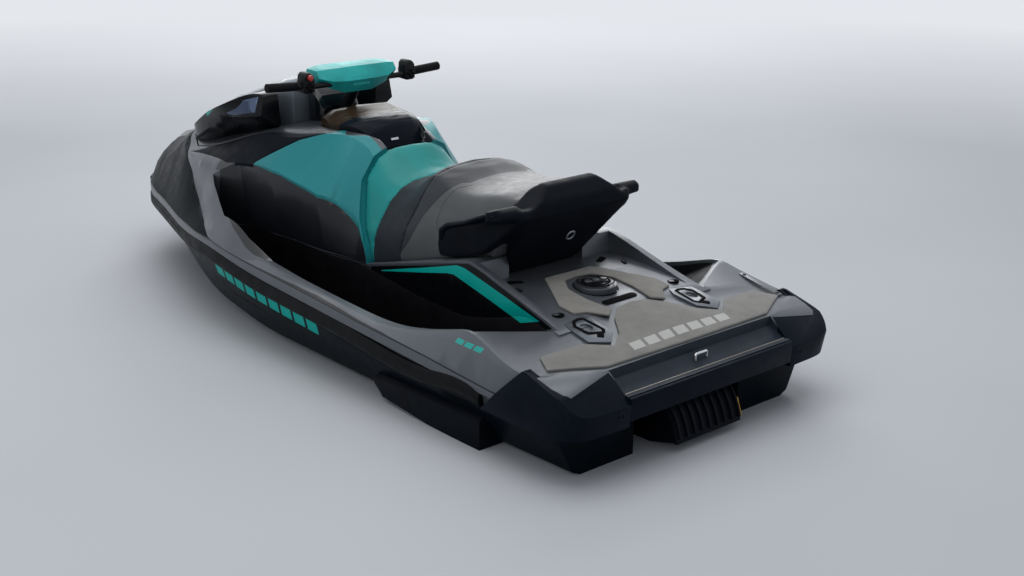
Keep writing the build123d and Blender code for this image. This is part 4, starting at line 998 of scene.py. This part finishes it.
def makeBarDetails():
    body = bodyOf["handlebar"]
    back = (-1, 0, 0)
    for side in (1, -1):
        label = "Port" if side > 0 else "Starboard"
        y = side * switchPod["y"]
        pod = [(px, y + dy, pz) for px, dy, pz in switchPod["line"]]
        slab("switchPod" + label, pod, switchPod["push"], extra["blackSatin"], body, switchPod["edge"])
        for dy, dz in rocker["shifts"]:
            disc("rocker%s%d%d" % (label, round(dy * 1000), round(dz * 1000)),
                 (rocker["x"], y + dy, rocker["z"] + dz), back, rocker["radius"], rocker["depth"],
                 extra["blackPartsAndHoleShade"], body, rocker["edge"])
    disc("stopButton", stopButton["place"], back, stopButton["radius"], stopButton["depth"],
         extra["redButton"], body, stopButton["edge"])


makeCapDetails()
makeDeckDetails()
makeHandleRails()
makeSternDetails()
makeLidDetails()
makeBarDetails()


studio = {
    "pale": (0.78, 0.80, 0.84), "floor": (0.62, 0.64, 0.67), "sky": (0.80, 0.85, 0.92), "skyStrength": 0.36,
    "fadeStart": 4.5, "fadeEnd": 10.0,
    "lights": {
        "overhead": {"place": (-0.5, 0.5, 5.0), "size": 5.0, "power": 120.0, "aim": (0, 0, 0.4)},
        "portSoftbox": {"place": (-1.0, 5.0, 2.6), "size": 3.0, "power": 20.0, "aim": (0, 0, 0.4)},
        "backSky": {"place": (7.0, -6.2, 4.6), "size": 7.0, "power": 395.0, "aim": (0, 0, 0.5)},
    },
}


def seenDirectly(tree):
    # 1 for camera, glossy and transmission rays, so the pale background also shows in gloss and glass.
    path = tree.nodes.new("ShaderNodeLightPath")
    seen = maths(tree, "MAXIMUM", path.outputs["Is Camera Ray"], path.outputs["Is Glossy Ray"])
    return maths(tree, "MAXIMUM", seen, path.outputs["Is Transmission Ray"])


def makeStage():
    bpy.ops.mesh.primitive_plane_add(size=90.0, location=(0, 0, 0))
    floor = bpy.context.object
    floor.name = "studioFloor"
    material, tree, shader = newMaterial("floorPaper", 0.85)
    place = objectPlace(tree)
    tone = studio["floor"]
    paper = [(0.3, tint(tone, 0.97)), (0.7, tint(tone, 1.03))]
    tree.links.new(ramp(tree, noise(tree, place, 0.6, 2.0), paper), shader.inputs["Base Color"])
    # The paper fades into the background with its distance from the craft.
    reach = tree.nodes.new("ShaderNodeVectorMath")
    reach.operation = "LENGTH"
    tree.links.new(place, reach.inputs[0])
    span = studio["fadeEnd"] - studio["fadeStart"]
    far = maths(tree, "MULTIPLY_ADD", reach.outputs["Value"], 1.0 / span, -studio["fadeStart"] / span)
    far = maths(tree, "MINIMUM", maths(tree, "MAXIMUM", far, 0.0), 1.0)
    glow = tree.nodes.new("ShaderNodeEmission")
    glow.inputs["Color"].default_value = (*studio["pale"], 1.0)
    blend = tree.nodes.new("ShaderNodeMixShader")
    tree.links.new(maths(tree, "MULTIPLY", far, seenDirectly(tree)), blend.inputs["Fac"])
    tree.links.new(shader.outputs["BSDF"], blend.inputs[1])
    tree.links.new(glow.outputs["Emission"], blend.inputs[2])
    tree.links.new(blend.outputs["Shader"], tree.nodes["Material Output"].inputs["Surface"])
    floor.data.materials.append(material)


def makeLights():
    for name, values in studio["lights"].items():
        aim = Vector(values["aim"]) - Vector(values["place"])
        bpy.ops.object.light_add(type="AREA", location=values["place"],
                                 rotation=aim.to_track_quat("-Z", "Y").to_euler())
        lamp = bpy.context.object
        lamp.name = name
        lamp.data.size = values["size"]
        lamp.data.energy = values["power"]
        lamp.visible_camera = False
    world = bpy.data.worlds.new("studio")
    world.use_nodes = True
    tree = world.node_tree
    sky = tree.nodes["Background"]
    sky.inputs["Color"].default_value = (*studio["sky"], 1.0)
    sky.inputs["Strength"].default_value = studio["skyStrength"]
    paper = tree.nodes.new("ShaderNodeBackground")
    paper.inputs["Color"].default_value = (*studio["pale"], 1.0)
    blend = tree.nodes.new("ShaderNodeMixShader")
    tree.links.new(seenDirectly(tree), blend.inputs["Fac"])
    tree.links.new(sky.outputs["Background"], blend.inputs[1])
    tree.links.new(paper.outputs["Background"], blend.inputs[2])
    tree.links.new(blend.outputs["Shader"], tree.nodes["World Output"].inputs["Surface"])
    bpy.context.scene.world = world
    bpy.context.scene.view_settings.view_transform = "Standard"


makeCamera()
makeStage()
makeLights()
print("studio ready")
